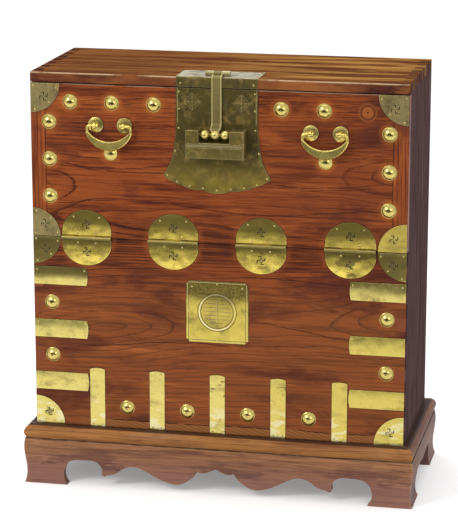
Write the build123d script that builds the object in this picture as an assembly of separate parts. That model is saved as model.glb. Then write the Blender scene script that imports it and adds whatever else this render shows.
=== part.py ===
from build123d import *
import math
import os

# Korean bandaji: a chest whose upper front half is a door that drops on four hinges at the seam.
# Millimetres, +Z up, the front faces -Y, the floor is Z = 0, and the origin is under the middle of
# the whole object's box. Each separate piece is written to parts/ as one STEP file.

os.makedirs("parts", exist_ok=True)

# ---------------------------------------------------------------- driving dimensions

# Case
case_width = 830.0
case_depth = 356.0
case_height = 796.0
top_thickness = 21.0
side_thickness = 21.0
front_thickness = 21.0
back_thickness = 14.0
bottom_thickness = 18.0
lower_front_height = 432.0  # from the stand to the hinge line
top_fingers = 15  # alternate segments along each end joint of the top board
front_fingers = 15  # alternate segments up each end of the lower front board
arris = 1.5  # rounding of the handled board edges
overshoot = 10.0  # how far a cutting shape reaches past what it cuts

# Door
door_thickness = 21.0
cleat_width = 33.0
tongue_length = 12.0
tongue_thickness = 7.0
joint_arris = 0.6  # broken front edges where the panel meets its cleats
seam_gap = 1.5  # between the door's lower edge and the board below it
door_top_gap = 2.5  # lets the door's inner top edge swing clear of the top board
door_back_gap = 0.5  # between the closed door and the side boards' front edges

# Stand
stand_height = 135.0
stand_overhang = 24.0
moulding_height = 31.0
moulding_width = 60.0
moulding_lip = 2.0  # flat left in front of the case
apron_thickness = 24.0
apron_waist = 4.5  # depth of the hollow in the apron's outer face
foot_width = 99.0  # along the floor, from the corner to the toe
foot_scroll = 79.0  # from the toe to the far springing of the small arch
arch_height = 60.0
lobe_x = 89.0  # from the middle of the front apron to each large lobe
lobe_depth = 43.5  # how far the large lobes hang below the arch's height

# Brass plates
plate_thickness = 1.5
plate_inset = 1.0  # from the case's edges
plate_edge = 0.4  # chamfer along the plates' outer edges
corner_plate_radius = 65.0
edge_plate_radius = 62.0
side_strap_length = 122.0
side_strap_height = 41.0
side_strap_levels = ["low", "middle", "high"]
side_strap_low_gap = 15.5  # from a bottom corner plate up to the lowest side strap
side_strap_high_gap = 5.75  # from the highest side strap up to the edge plate
bottom_strap_count = 5
bottom_strap_width = 34.0
bottom_strap_height = 136.0
bottom_strap_gap = 2.4  # from the outermost bottom strap to the side straps' free ends
strap_bulge = 3.0  # how far a strap's free end bows outwards
medallion_size = 138.5
medallion_drop = 153.0  # from the hinge line down to the medallion's middle
medallion_nick = 6.5
medallion_ring_radius = 42.5
medallion_ring_width = 6.0
medallion_relief = 2.0
medallion_bar = 2.4  # width of the barred fret's lines
medallion_bar_rows = 7
fret_slot = 2.0  # width of the pierced slots
fret_arm = 9.6  # from the fret's middle to the outside of its hooks
fret_core = 2.2  # from the fret's middle to the start of each slot

# Hinges
hinge_count = 4
hinge_end_gap = 4.0  # from an outer hinge to the edge plate beside it
hinge_radius = 62.0
hinge_width = 111.0
hinge_leaf = 1.8
knuckle_count = 3
knuckle_radius = 4.5
knuckle_gap = 0.3
knuckle_standoff = 0.3  # between the barrel and the boards' face
pin_radius = 2.0
pin_clearance = 0.05

# Studs
stud_radius = 16.5
stud_height = 9.0
stud_rim = 1.8
stud_rim_height = 1.2
top_stud_drop = 39.5  # from the door's upper edge down to the top row
top_stud_inner_gap = 34.0  # from the lock plate to the first stud of the top row
top_stud_outer_gap = 6.5  # from the last stud of the top row to the corner plate
side_stud_inset = 41.0  # from the case's side to the studs beside it
side_stud_high_gap = 3.0  # from the highest side stud up to the corner plate
side_stud_low_gap = 11.75  # from the edge plate up to the lowest side stud
strike_radius = 15.0
strike_height = 6.5
strike_drop = 63.0  # from a handle's posts down to the stud that its bail strikes

# Lock plate, hasp and staples
lock_plate_half_width = 89.5
lock_plate_tip_x = 118.0
lock_plate_length = 0.6726  # as shares of the door's height: the whole plate,
lock_plate_tip_drop = 0.5681  # from the door's upper edge down to the tips,
lock_plate_flare_drop = 0.2222  # and down to where the straight sides begin to flare
hasp_plate_depth = 82.0
hasp_axis_back = 13.0  # behind the case's front face
hasp_knuckle_radius = 6.0
hasp_width = 22.0
hasp_thickness = 3.0
hasp_rim = 1.0
hasp_rim_width = 3.0
hasp_lift = 0.5  # air between the hasp's strap and the plates under it
bracket_width = 15.5
bracket_foot_thickness = 2.0
eye_radius = 10.5
eye_pitch = 22.4
eye_drop = 96.5  # from the door's upper edge down to the eyes
eye_hole_radius = 4.8
hasp_neck_rise = 24.5  # from the eye up to where the strap lies flat
staple_shank_radius = 4.5
staple_leg_length = 16.0
shank_clearance = 0.1
clinch_thickness = 2.5

# Padlock
padlock_width = 124.0
padlock_depth = 30.0
padlock_rise = 11.0  # of the turrets above the bar's eyes
padlock_drop = 50.0  # of the lock's foot below the eyes
padlock_notch_width = 68.0
padlock_notch_drop = 16.0  # of the notch's floor below the eyes
padlock_standoff = 2.0  # in front of the lock plate
padlock_wall = 3.0
padlock_edge = 1.2
padlock_front_edge = 0.8
padlock_bead_drop = 22.5  # of the bead across the front below the eyes
padlock_bead_width = 3.6
bead_groove_width = 2.4
bead_groove_depth = 0.5
bar_radius = 4.0
bar_clearance = 0.08
bar_drop_gap = 0.3  # air left under the bar, which hangs low in the three eyes
bar_seat = 13.0  # how deep the bar's tip sits in the far turret
bar_end_gap = 1.0  # between that tip and the bore's end
end_plate_thickness = 4.0
end_plate_gap = 0.2
carrier_length = 82.0  # the stem that carries the leaf springs
carrier_thickness = 4.0
carrier_height = 8.0
spring_length = 34.0
spring_spread = 9.0  # from the lock's middle plane to a leaf's free end
spring_thickness = 1.0
spring_height = 6.0
keyhole_width = 12.0
keyhole_height = 6.0

# Bail handles
handle_inset = 178.5  # from the case's side to a handle's middle
handle_drop = 87.5  # from the door's upper edge down to the handle's posts
handle_post_x = 32.0
rosette_radius = 17.0
rosette_rim = 1.5
rosette_dome = 4.0
post_eye_radius = 6.2
post_eye_width = 7.0
post_eye_edge = 1.0
post_shank_radius = 3.0
post_leg_length = 12.0
bail_standoff = 12.5  # from the door's face to the bail's axis
bail_rod_radius = 3.0
bail_rod_clearance = 0.3
bail_outer_radius = 53.5
bail_inner_radius = 60.0
bail_belly = 19.0  # height of the crescent at its middle
bail_thickness = 9.0
bail_edge = 1.8  # bevel along the grip's edges
bail_horn_drop = 14.0  # from the posts down to where the grip thins into its horns
bail_turn = 6.0  # bend of each horn
bail_tip_radius = 3.9
bail_tip_length = 3.0
bail_tip_gap = 1.2  # between a horn's upset tip and the post's eye

# ---------------------------------------------------------------- places worked out from them

front_reach = plate_thickness + padlock_standoff + padlock_depth
front_y = (front_reach - stand_overhang - case_depth) / 2
back_y = front_y + case_depth
base_z = stand_height
top_z = base_z + case_height
top_underside_z = top_z - top_thickness
hinge_z = base_z + lower_front_height
lower_front_top_z = hinge_z - seam_gap / 2
door_bottom_z = hinge_z + seam_gap / 2
door_top_z = top_underside_z - door_top_gap
door_height = door_top_z - door_bottom_z
case_x = case_width / 2
plate_x = case_x - plate_inset
door_inner_y = front_y + door_thickness
hinge_axis_y = front_y - knuckle_radius - knuckle_standoff
stand_width = case_width + 2 * stand_overhang
stand_depth = case_depth + 2 * stand_overhang
apron_height = stand_height - moulding_height
eye_y = front_y - plate_thickness - padlock_standoff - padlock_depth / 2
eye_z = door_top_z - eye_drop
bar_z = eye_z - (eye_hole_radius - bar_radius - bar_drop_gap)
handle_x = case_x - handle_inset
handle_z = door_top_z - handle_drop
front_face = Plane(origin=(0, front_y, 0), x_dir=(1, 0, 0), z_dir=(0, -1, 0))


def spread(first, last, count):
    """Evenly spaced places from the first to the last."""
    return [first + (last - first) * index / (count - 1) for index in range(count)]


def block(x0, x1, y0, y1, z0, z1):
    """A box between two corners."""
    middle = Pos((x0 + x1) / 2, (y0 + y1) / 2, (z0 + z1) / 2)
    return middle * Box(x1 - x0, y1 - y0, z1 - z0)


def rod(radius, start, end):
    """A round bar between two points."""
    direction = Vector(*end) - Vector(*start)
    return extrude(Plane(origin=start, z_dir=direction) * Circle(radius), direction.length)


def along_x(radius, x0, x1, y, z):
    """A round bar parallel to X."""
    return rod(radius, (x0, y, z), (x1, y, z))


def on_front(sketch, thickness, sunk=0.0):
    """Raise a sketch of X and Z from the front face; sunk starts it behind that face."""
    return extrude(front_face.offset(-sunk) * sketch, thickness + sunk)


def side_profile(outline, x0, x1):
    """Extrude a closed outline of Y and Z from x0 to x1."""
    plane = Plane(origin=(x0, 0, 0), x_dir=(0, 1, 0), z_dir=(1, 0, 0))
    return extrude(plane * make_face(outline), x1 - x0)


def turned(profile, x, z):
    """Revolve a profile of radius and height about an axis that stands out of the front face."""
    frame = Plane(origin=(x, front_y, z), x_dir=(1, 0, 0), z_dir=(0, 0, 1))
    outward = Rot(180, 0, 0) * revolve(make_face(profile), Axis.Y)
    return frame.location * outward


def soften_front(solid, size):
    """Chamfer the outer edges of a plate's front face."""
    outer = solid.faces().sort_by(Axis.Y)[0].outer_wire()
    return chamfer(outer.edges(), size)


def save(name, shape):
    """Write one named piece, or one group of alike pieces."""
    solids = shape.solids()
    label = solids[0] if len(solids) == 1 else Compound(children=solids)
    export_step(label, f"parts/{name}.step")


# ---------------------------------------------------------------- case boards


def top_finger_blocks(side):
    """The side board's fingers that show as end grain in the top board."""
    pitch = case_depth / top_fingers
    outer = side * case_x
    inner = side * (case_x - side_thickness)
    fingers = []
    for index in range(1, top_fingers, 2):
        y0 = front_y + index * pitch
        fingers.append(block(min(outer, inner), max(outer, inner), y0, y0 + pitch, top_underside_z, top_z))
    return fingers


def front_finger_blocks(side):
    """The side board's fingers that show in the ends of the lower front board."""
    pitch = (lower_front_top_z - base_z) / front_fingers
    outer = side * case_x
    inner = side * (case_x - side_thickness)
    inside_y = front_y + front_thickness
    fingers = []
    for index in range(1, front_fingers, 2):
        z0 = base_z + index * pitch
        fingers.append(block(min(outer, inner), max(outer, inner), front_y, inside_y, z0, z0 + pitch))
    return fingers


def make_top_board():
    board = block(-case_x, case_x, front_y, back_y, top_underside_z, top_z)
    front_edge = board.edges().filter_by(Axis.X).sort_by(Axis.Y)[:2].sort_by(Axis.Z)[-1]
    board = fillet(front_edge, arris)
    for side in (-1, 1):
        for finger in top_finger_blocks(side):
            board -= finger
    return board


def make_side_board(side):
    outer = side * case_x
    inner = side * (case_x - side_thickness)
    x0, x1 = min(outer, inner), max(outer, inner)
    lower = block(x0, x1, front_y + front_thickness, back_y, base_z, lower_front_top_z)
    upper_front = door_inner_y + door_back_gap
    board = lower + block(x0, x1, upper_front, back_y, lower_front_top_z, top_underside_z)
    for finger in top_finger_blocks(side) + front_finger_blocks(side):
        board += finger
    return board


def make_lower_front_board():
    board = block(-case_x, case_x, front_y, front_y + front_thickness, base_z, lower_front_top_z)
    for side in (-1, 1):
        for finger in front_finger_blocks(side):
            board -= finger
    return board


def make_back_board():
    inner_x = case_x - side_thickness
    return block(-inner_x, inner_x, back_y - back_thickness, back_y, base_z, top_underside_z)


def make_bottom_board():
    inner_x = case_x - side_thickness
    inner_front = front_y + front_thickness
    return block(-inner_x, inner_x, inner_front, back_y - back_thickness, base_z, base_z + bottom_thickness)


# ---------------------------------------------------------------- stand


def mitre_prism(length, width):
    """The plan of one side of a mitred frame: long outside at Y = 0, short inside."""
    half = length / 2
    plan = Polyline((-half, 0), (half, 0), (half - width, width), (width - half, width), close=True)
    return extrude(make_face(plan), stand_height)


def make_moulding(length):
    """Bullnose moulding, drawn with its outermost line at Y = 0."""
    low = apron_height
    high = stand_height
    h = moulding_height
    lip = (stand_overhang - moulding_lip, high)
    shoulder = (0.25 * stand_overhang, high - 0.13 * h)
    tuck = (0.12 * stand_overhang, low + 0.16 * h)
    heel = (0.2 * stand_overhang, low)
    crown = Spline(lip, shoulder, (0, high - 0.48 * h), tuck)
    outline = crown + Polyline(tuck, heel, (moulding_width, low), (moulding_width, high), lip)
    return side_profile(outline, -length / 2, length / 2) & mitre_prism(length, moulding_width)


def make_apron_blank(length):
    """An apron board whose outer face is an ogee: full, then hollow, then flared at the floor."""
    top = apron_height
    brow = (0.45 * apron_waist, top)
    face = Spline(brow, (0, 0.78 * top), (apron_waist, 0.38 * top), (0, 0))
    outline = face + Polyline((0, 0), (apron_thickness, 0), (apron_thickness, top), brow)
    return side_profile(outline, -length / 2, length / 2) & mitre_prism(length, apron_thickness)


def cut_away(blank, half_outline):
    """Cut a symmetric opening, given by its right half from the foot to the middle, out of a blank."""
    start = half_outline @ 0
    end = half_outline @ 1
    closing = Polyline((start.X, start.Y), (start.X, -overshoot), (0, -overshoot), (end.X, end.Y))
    right = make_face(half_outline.edges() + closing.edges())
    plane = Plane(origin=(0, -overshoot, 0), x_dir=(1, 0, 0), z_dir=(0, -1, 0))
    cutter = extrude(plane * right, -(apron_thickness + 2 * overshoot))
    return blank - cutter - cutter.mirror(Plane.YZ)


def foot_curve(toe_x):
    """From the toe, up the foot's hollow side and over the arch to its far springing."""
    h = arch_height
    s = foot_scroll
    return Spline(
        (toe_x, 0),
        (toe_x + 0.11 * s, 0.52 * h),
        (toe_x - 0.05 * s, 0.88 * h),
        (toe_x - 0.53 * s, h),
        (toe_x - 0.86 * s, 0.94 * h),
        (toe_x - s, 0.72 * h),
        (toe_x - s, 0.48 * h),
    )


def make_front_apron():
    toe_x = stand_width / 2 - foot_width
    h = arch_height
    s = foot_scroll
    foot = foot_curve(toe_x)
    drop_x = toe_x - s
    step = (drop_x - 0.15 * s, 0.45 * h)
    rise = (drop_x - 0.57 * s, 0.7 * h)
    drop = ThreePointArc((drop_x, 0.48 * h), (drop_x - 0.06 * s, 0.4 * h), step)
    shoulder = Spline(step, (drop_x - 0.37 * s, 0.51 * h), rise)
    low = h - lobe_depth
    inside = (0.46 * lobe_x, 0.85 * h)
    lobe = Spline(
        rise,
        (2 * lobe_x, 0.83 * h),
        (1.54 * lobe_x, 0.5 * h),
        (1.2 * lobe_x, low + 0.05 * lobe_depth),
        (lobe_x, low),
        (0.72 * lobe_x, low + 0.21 * lobe_depth),
        inside,
    )
    centre = Spline(inside, (0.33 * lobe_x, 0.8 * h), (0.15 * lobe_x, 0.88 * h), (0, 0.98 * h))
    outline = Wire([foot, drop, shoulder, lobe, centre])
    return cut_away(make_apron_blank(stand_width), outline)


def make_side_apron():
    toe_x = stand_depth / 2 - foot_width
    h = arch_height
    s = foot_scroll
    spring = (toe_x - 0.44 * s, h)
    foot = Spline((toe_x, 0), (toe_x + 0.11 * s, 0.52 * h), (toe_x - 0.05 * s, 0.88 * h), spring)
    rise = Spline(spring, (toe_x - 0.89 * s, 0.94 * h), (0, 0.85 * h))
    return cut_away(make_apron_blank(stand_depth), Wire([foot, rise]))


def make_back_apron():
    toe_x = stand_width / 2 - foot_width
    h = arch_height
    s = foot_scroll
    spring = (toe_x - 0.53 * s, h)
    foot = Spline((toe_x, 0), (toe_x + 0.11 * s, 0.52 * h), (toe_x - 0.05 * s, 0.88 * h), spring)
    flat = Line(spring, (0, h))
    return cut_away(make_apron_blank(stand_width), Wire([foot, flat]))


stand_sides = {
    "front": Pos(0, front_y - stand_overhang, 0),
    "back": Pos(0, back_y + stand_overhang, 0) * Rot(0, 0, 180),
    "left": Pos(-stand_width / 2, (front_y + back_y) / 2, 0) * Rot(0, 0, -90),
    "right": Pos(stand_width / 2, (front_y + back_y) / 2, 0) * Rot(0, 0, 90),
}

# ---------------------------------------------------------------- door


def through_holes():
    """Holes in the door for the staples' and handle posts' shanks."""
    holes = []
    for x in (-eye_pitch, eye_pitch):
        holes.append((x, eye_z, staple_shank_radius + shank_clearance))
    for side in (-1, 1):
        for post in (-1, 1):
            post_x = side * handle_x + post * handle_post_x
            holes.append((post_x, handle_z, post_shank_radius + shank_clearance))
    near, far = front_y - overshoot, door_inner_y + overshoot
    return [rod(r, (x, near, z), (x, far, z)) for x, z, r in holes]


def tongue(side):
    """The door panel's end tongue, which sits in the cleat's groove."""
    inner = case_x - cleat_width
    middle_y = front_y + door_thickness / 2
    y0, y1 = middle_y - tongue_thickness / 2, middle_y + tongue_thickness / 2
    x0, x1 = sorted((side * inner, side * (inner + tongue_length)))
    return block(x0, x1, y0, y1, door_bottom_z, door_top_z)


def upright_front_edges(board):
    """The two upright edges of a board's front face."""
    return board.edges().filter_by(Axis.Z).sort_by(Axis.Y)[:2]


def make_door_panel():
    inner = case_x - cleat_width
    panel = block(-inner, inner, front_y, door_inner_y, door_bottom_z, door_top_z)
    panel = chamfer(upright_front_edges(panel), joint_arris)
    panel = panel + tongue(-1) + tongue(1)
    for hole in through_holes():
        panel -= hole
    return panel


def make_door_cleat(side):
    inner = case_x - cleat_width
    x0, x1 = sorted((side * inner, side * case_x))
    cleat = block(x0, x1, front_y, door_inner_y, door_bottom_z, door_top_z)
    joint_edge = upright_front_edges(cleat).sort_by(Axis.X)[0 if side > 0 else -1]
    return chamfer(joint_edge, joint_arris) - tongue(side)


# ---------------------------------------------------------------- brass plates


def fret(x, z):
    """Four hooked slots turned about one point: the traditional fret of the region's metalwork."""
    stem = fret_arm - fret_core
    hook = Pos(0, fret_core + stem / 2) * Rectangle(fret_slot, stem)
    hook += Pos((fret_slot - stem) / 2, fret_arm - fret_slot / 2) * Rectangle(stem, fret_slot)
    slots = Sketch() + [Rot(0, 0, turn) * hook for turn in (0, 90, 180, 270)]
    return Pos(x, z) * slots


def quarter_disc(radius):
    arc = CenterArc((0, 0), radius, 0, 90)
    return make_face(arc + Polyline((0, radius), (0, 0), (radius, 0)))


def quarter_plate(x, z, radius, turn):
    """A quarter disc with its square corner at x, z, pierced by one fret."""
    sketch = Pos(x, z) * Rot(0, 0, turn) * quarter_disc(radius)
    plate = soften_front(on_front(sketch, plate_thickness), plate_edge)
    reach = 0.45 * radius
    middle = Vector(reach, reach).rotate(Axis.Z, turn)
    pierced = on_front(fret(x + middle.X, z + middle.Y), plate_thickness + overshoot, overshoot)
    return plate - pierced


def strap_outline(length, width):
    """A strap from x = 0 to x = length whose far end bows out."""
    half = width / 2
    square_x = length - strap_bulge
    edge = Polyline((square_x, half), (0, half), (0, -half), (square_x, -half))
    return make_face(edge + ThreePointArc((square_x, -half), (length, 0), (square_x, half)))


def side_strap_z():
    first = base_z + corner_plate_radius + side_strap_low_gap + side_strap_height / 2
    last = lower_front_top_z - edge_plate_radius - side_strap_high_gap - side_strap_height / 2
    return spread(first, last, len(side_strap_levels))


def make_side_strap(side, z):
    turn = 180 if side > 0 else 0
    sketch = Pos(side * plate_x, z) * Rot(0, 0, turn) * strap_outline(side_strap_length, side_strap_height)
    return soften_front(on_front(sketch, plate_thickness), plate_edge)


def bottom_strap_x():
    last = plate_x - side_strap_length - bottom_strap_gap - bottom_strap_width / 2
    return spread(-last, last, bottom_strap_count)


def make_bottom_straps():
    straps = []
    for x in bottom_strap_x():
        sketch = Pos(x, base_z) * Rot(0, 0, 90) * strap_outline(bottom_strap_height, bottom_strap_width)
        straps.append(soften_front(on_front(sketch, plate_thickness), plate_edge))
    return Compound(straps)


def make_medallion():
    """A square plate with nicked corners, a raised ring and a barred fret inside the ring."""
    middle_z = hinge_z - medallion_drop
    square = Rectangle(medallion_size, medallion_size)
    corner = medallion_size / 2
    for x in (-corner, corner):
        for z in (-corner, corner):
            square -= Pos(x, z) * Circle(medallion_nick)
    plate = soften_front(on_front(Pos(0, middle_z) * square, plate_thickness), plate_edge)
    outer = medallion_ring_radius
    inner = outer - medallion_ring_width
    flank = 0.3 * medallion_ring_width
    crest = plate_thickness + medallion_relief
    ring = Polyline((inner, 0), (outer, 0), (outer, plate_thickness), (outer - flank, crest))
    ring += Polyline((outer - flank, crest), (inner + flank, crest), (inner, plate_thickness), (inner, 0))
    plate += turned(ring, 0, middle_z)
    bars = Sketch() + Rectangle(medallion_bar, 1.7 * inner)
    start = 0.75 * medallion_bar
    reach = 0.72 * inner
    for z in spread(-reach, reach, medallion_bar_rows):
        end = 0.84 * math.sqrt(inner**2 - z**2)
        for side in (-1, 1):
            bars += Pos(side * (start + end) / 2, z) * Rectangle(end - start, medallion_bar)
    face = front_face.offset(plate_thickness)
    return plate + extrude(face * (Pos(0, middle_z) * bars), 0.6 * medallion_relief)


def make_lock_plate():
    """Bell-shaped plate: straight sides that flare to two points, and a lobed lower edge."""
    w = lock_plate_half_width
    tip_x = lock_plate_tip_x
    top = door_top_z
    low = top - lock_plate_length * door_height
    tip_z = top - lock_plate_tip_drop * door_height
    flare_z = top - lock_plate_flare_drop * door_height
    flare = flare_z - tip_z
    drop = tip_z - low
    side = Spline(
        (w, flare_z),
        (w + 0.18 * (tip_x - w), tip_z + 0.53 * flare),
        (w + 0.46 * (tip_x - w), tip_z + 0.26 * flare),
        (tip_x, tip_z),
        tangents=[(0, -1), (0.45, -1)],
    )
    cusp = (0.68 * tip_x, low + 0.48 * drop)
    knot = (0.25 * tip_x, low + 0.2 * drop)
    shoulder = ThreePointArc((tip_x, tip_z), (0.84 * tip_x, tip_z - 0.34 * drop), cusp)
    lobe = ThreePointArc(cusp, (0.475 * tip_x, low + 0.23 * drop), knot)
    hollow = (0.12 * tip_x, low + 0.03 * drop)
    centre = Spline(knot, hollow, (0, low), (-hollow[0], hollow[1]), (-knot[0], knot[1]))
    right = [Line((w, top), (w, flare_z)), side, shoulder, lobe]
    outline = [Line((-w, top), (w, top))] + right + [centre] + [edge.mirror(Plane.YZ) for edge in right]
    plate = on_front(make_face(outline), plate_thickness)
    for hole in through_holes()[:2]:
        plate -= hole
    return plate


# ---------------------------------------------------------------- hinges


def knuckle_span(index):
    """Left and right ends of one knuckle, measured from the hinge's middle."""
    length = (hinge_width - (knuckle_count - 1) * knuckle_gap) / knuckle_count
    left = -hinge_width / 2 + index * (length + knuckle_gap)
    return left, left + length


def leaf_face(low):
    """Half of the hinge's round, above low: upright sides that bow over into a shallow crown."""
    w = hinge_width / 2
    spring = (w, 0.21 * hinge_radius)
    shoulder = (0.72 * w, 0.76 * hinge_radius)
    crown = ThreePointArc(shoulder, (0, hinge_radius), (-shoulder[0], shoulder[1]))
    right = [Line((w, low), spring), TangentArc(spring, shoulder, tangent=(0, 1))]
    return make_face([Line((-w, low), (w, low)), crown] + right + [edge.mirror(Plane.YZ) for edge in right])


def make_hinge_leaf(x, side):
    """The leaf above (side = 1) or below (side = -1) the hinge line, with its own knuckles."""
    clear = knuckle_radius + knuckle_gap
    half = hinge_width / 2
    sketch = Pos(x, hinge_z) * Rot(0, 0, 90 - 90 * side) * leaf_face(clear)
    leaf = soften_front(on_front(sketch, hinge_leaf), plate_edge)
    own = range(1, knuckle_count, 2) if side > 0 else range(0, knuckle_count, 2)
    for index in own:
        left, right = knuckle_span(index)
        z0, z1 = sorted((hinge_z, hinge_z + side * (clear + hinge_leaf)))
        leaf += along_x(knuckle_radius, x + left, x + right, hinge_axis_y, hinge_z)
        leaf += block(x + left, x + right, front_y - hinge_leaf, front_y, z0, z1)
    ends = (x - half - overshoot, x + half + overshoot)
    leaf -= along_x(pin_radius + pin_clearance, *ends, hinge_axis_y, hinge_z)
    return leaf - on_front(fret(x, hinge_z + side * hinge_radius / 2), hinge_leaf + overshoot, overshoot)


def hinge_x():
    last = plate_x - edge_plate_radius - hinge_end_gap - hinge_width / 2
    return spread(-last, last, hinge_count)


def make_hinge_pins():
    half = hinge_width / 2
    return Compound([along_x(pin_radius, x - half, x + half, hinge_axis_y, hinge_z) for x in hinge_x()])


# ---------------------------------------------------------------- studs


def make_stud(x, z, radius, height):
    """A dome, part of a ball, on a thin rim that slopes down to the wood."""
    dome = radius - stud_rim
    rise = height - stud_rim_height
    ball = (dome**2 + rise**2) / (2 * rise)
    middle = (dome / 2, height - ball + math.sqrt(ball**2 - dome**2 / 4))
    profile = Polyline((0, height), (0, 0), (radius, 0), (dome, stud_rim_height))
    profile += ThreePointArc((dome, stud_rim_height), middle, (0, height))
    return turned(profile, x, z)


def make_door_studs():
    """Three along the top on each side, of which the last is lost, three down each edge, and the strikes."""
    first_x = lock_plate_half_width + top_stud_inner_gap + stud_radius
    last_x = plate_x - corner_plate_radius - top_stud_outer_gap - stud_radius
    top_row = [(side * x, door_top_z - top_stud_drop) for side in (-1, 1) for x in spread(first_x, last_x, 3)]
    places = top_row[:-1]
    low_z = door_bottom_z + edge_plate_radius + side_stud_low_gap + stud_radius
    high_z = door_top_z - corner_plate_radius - side_stud_high_gap - stud_radius
    for side in (-1, 1):
        places += [(side * (case_x - side_stud_inset), z) for z in spread(low_z, high_z, 3)]
    studs = [make_stud(x, z, stud_radius, stud_height) for x, z in places]
    strike_z = handle_z - strike_drop
    strikes = [make_stud(side * handle_x, strike_z, strike_radius, strike_height) for side in (-1, 1)]
    return Compound(studs + strikes)


def make_front_studs():
    """Studs midway between the straps."""
    places = []
    levels = side_strap_z()
    for lower, upper in zip(levels, levels[1:]):
        for side in (-1, 1):
            places.append((side * (case_x - side_stud_inset), (lower + upper) / 2))
    straps = bottom_strap_x()
    for left, right in zip(straps, straps[1:]):
        places.append(((left + right) / 2, base_z + 0.35 * bottom_strap_height))
    return Compound([make_stud(x, z, stud_radius, stud_height) for x, z in places])


# ---------------------------------------------------------------- hasp and staples

hasp_plate_top_z = top_z + plate_thickness
hasp_axis_y = front_y + hasp_axis_back
hasp_axis_z = hasp_plate_top_z + knuckle_standoff + hasp_knuckle_radius


def over_the_edge(gap, back_end_y, low_end_z):
    """A line over the top board and down its front, gap away from the rounded edge between them."""
    centre = (front_y + arris, top_z - arris)
    radius = arris + gap
    top = Line((back_end_y, top_z + gap), (front_y + arris, top_z + gap))
    bend = CenterArc(centre, radius, 90, 90)
    return top + bend + Line((front_y - gap, top_z - arris), (front_y - gap, low_end_z))


def make_hasp_plate():
    """A plate bent over the top board's front edge."""
    w = lock_plate_half_width
    t = plate_thickness
    back = front_y + hasp_plate_depth
    outline = over_the_edge(0, back, top_underside_z) + over_the_edge(t, back, top_underside_z)
    outline += Line((back, top_z), (back, top_z + t))
    outline += Line((front_y, top_underside_z), (front_y - t, top_underside_z))
    return side_profile(outline, -w, w)


def make_hasp_bracket():
    """Two rolled knuckles on feet that stand on the hasp plate."""
    bracket = []
    inner = hasp_width / 2 + knuckle_gap
    r = hasp_knuckle_radius
    foot_z = hasp_plate_top_z + bracket_foot_thickness
    for side in (-1, 1):
        x0, x1 = sorted((side * inner, side * (inner + bracket_width)))
        knuckle = along_x(r, x0, x1, hasp_axis_y, hasp_axis_z)
        knuckle += block(x0, x1, hasp_axis_y - r / 2, hasp_axis_y + r, hasp_plate_top_z, hasp_axis_z)
        knuckle += block(x0, x1, hasp_axis_y, hasp_axis_y + 3 * r, hasp_plate_top_z, foot_z)
        bore = along_x(pin_radius + pin_clearance, x0 - overshoot, x1 + overshoot, hasp_axis_y, hasp_axis_z)
        bracket.append(knuckle - bore)
    return Compound(bracket)


def make_hasp_pin():
    end = hasp_width / 2 + knuckle_gap + bracket_width
    return along_x(pin_radius, -end, end, hasp_axis_y, hasp_axis_z)


def hasp_strap(extra, x0, x1):
    """The strap's side profile: over the edge, down the front and out into the eye."""
    inner = plate_thickness + hasp_lift
    outer = inner + hasp_thickness + extra
    inner_y = front_y - inner
    outer_y = front_y - outer
    r = eye_radius
    heel = (inner_y, eye_z + 0.95 * r)
    brow = (eye_y - 0.29 * r, eye_z + 0.67 * r)
    neck = (outer_y, eye_z + hasp_neck_rise)
    outline = over_the_edge(inner, hasp_axis_y, heel[1]) + over_the_edge(outer, hasp_axis_y, neck[1])
    outline += Line((hasp_axis_y, top_z + inner), (hasp_axis_y, top_z + outer))
    outline += Polyline(heel, (eye_y + 0.57 * r, eye_z + 0.38 * r), brow)
    outline += Spline(brow, (eye_y + 0.48 * r, eye_z + 1.43 * r), neck, tangents=[(0.4, 1), (0, 1)])
    return side_profile(outline, x0, x1)


def eye_ball(x):
    return Pos(x, eye_y, eye_z) * Sphere(eye_radius)


def eye_bore():
    """The hole along X that the bar passes through."""
    reach = eye_pitch + eye_radius + overshoot
    return along_x(eye_hole_radius, -reach, reach, eye_y, eye_z)


def make_hasp():
    half = hasp_width / 2
    hasp = hasp_strap(0, -half, half)
    for x0 in (-half, half - hasp_rim_width):
        hasp += hasp_strap(hasp_rim, x0, x0 + hasp_rim_width)
    waist = eye_z + eye_radius
    for side in (-1, 1):
        x0, x1 = sorted((side * 0.81 * eye_radius, side * (half + overshoot)))
        hasp -= block(x0, x1, eye_y - eye_radius, front_y, eye_z - eye_radius, waist)
    hasp += along_x(hasp_knuckle_radius, -half, half, hasp_axis_y, hasp_axis_z)
    hasp += eye_ball(0)
    hasp -= eye_bore()
    reach = half + overshoot
    return hasp - along_x(pin_radius + pin_clearance, -reach, reach, hasp_axis_y, hasp_axis_z)


def clinched_legs(x, z, shank_radius, length):
    """Two legs of a split shank, bent flat against the door's inner face."""
    return block(
        x - shank_radius * 0.7,
        x + shank_radius * 0.7,
        door_inner_y,
        door_inner_y + clinch_thickness,
        z - length,
        z + length,
    )


def make_lock_staples():
    staples = []
    for x in (-eye_pitch, eye_pitch):
        staple = eye_ball(x)
        staple += rod(staple_shank_radius, (x, eye_y, eye_z), (x, door_inner_y + clinch_thickness, eye_z))
        staple += clinched_legs(x, eye_z, staple_shank_radius, staple_leg_length)
        staples.append(staple - eye_bore())
    return Compound(staples)


# ---------------------------------------------------------------- padlock

padlock_back_y = front_y - plate_thickness - padlock_standoff
padlock_front_y = padlock_back_y - padlock_depth
padlock_x = padlock_width / 2
padlock_top_z = eye_z + padlock_rise
padlock_bottom_z = eye_z - padlock_drop
notch_x = padlock_notch_width / 2
notch_z = eye_z - padlock_notch_drop
cavity_z = padlock_bottom_z + padlock_wall
cavity_top_z = notch_z - 2 * padlock_wall
spine_z = (cavity_z + cavity_top_z) / 2
bar_tip_x = -notch_x - bar_seat
end_plate_x = padlock_x + end_plate_gap
spring_x = end_plate_x - carrier_length


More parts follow.
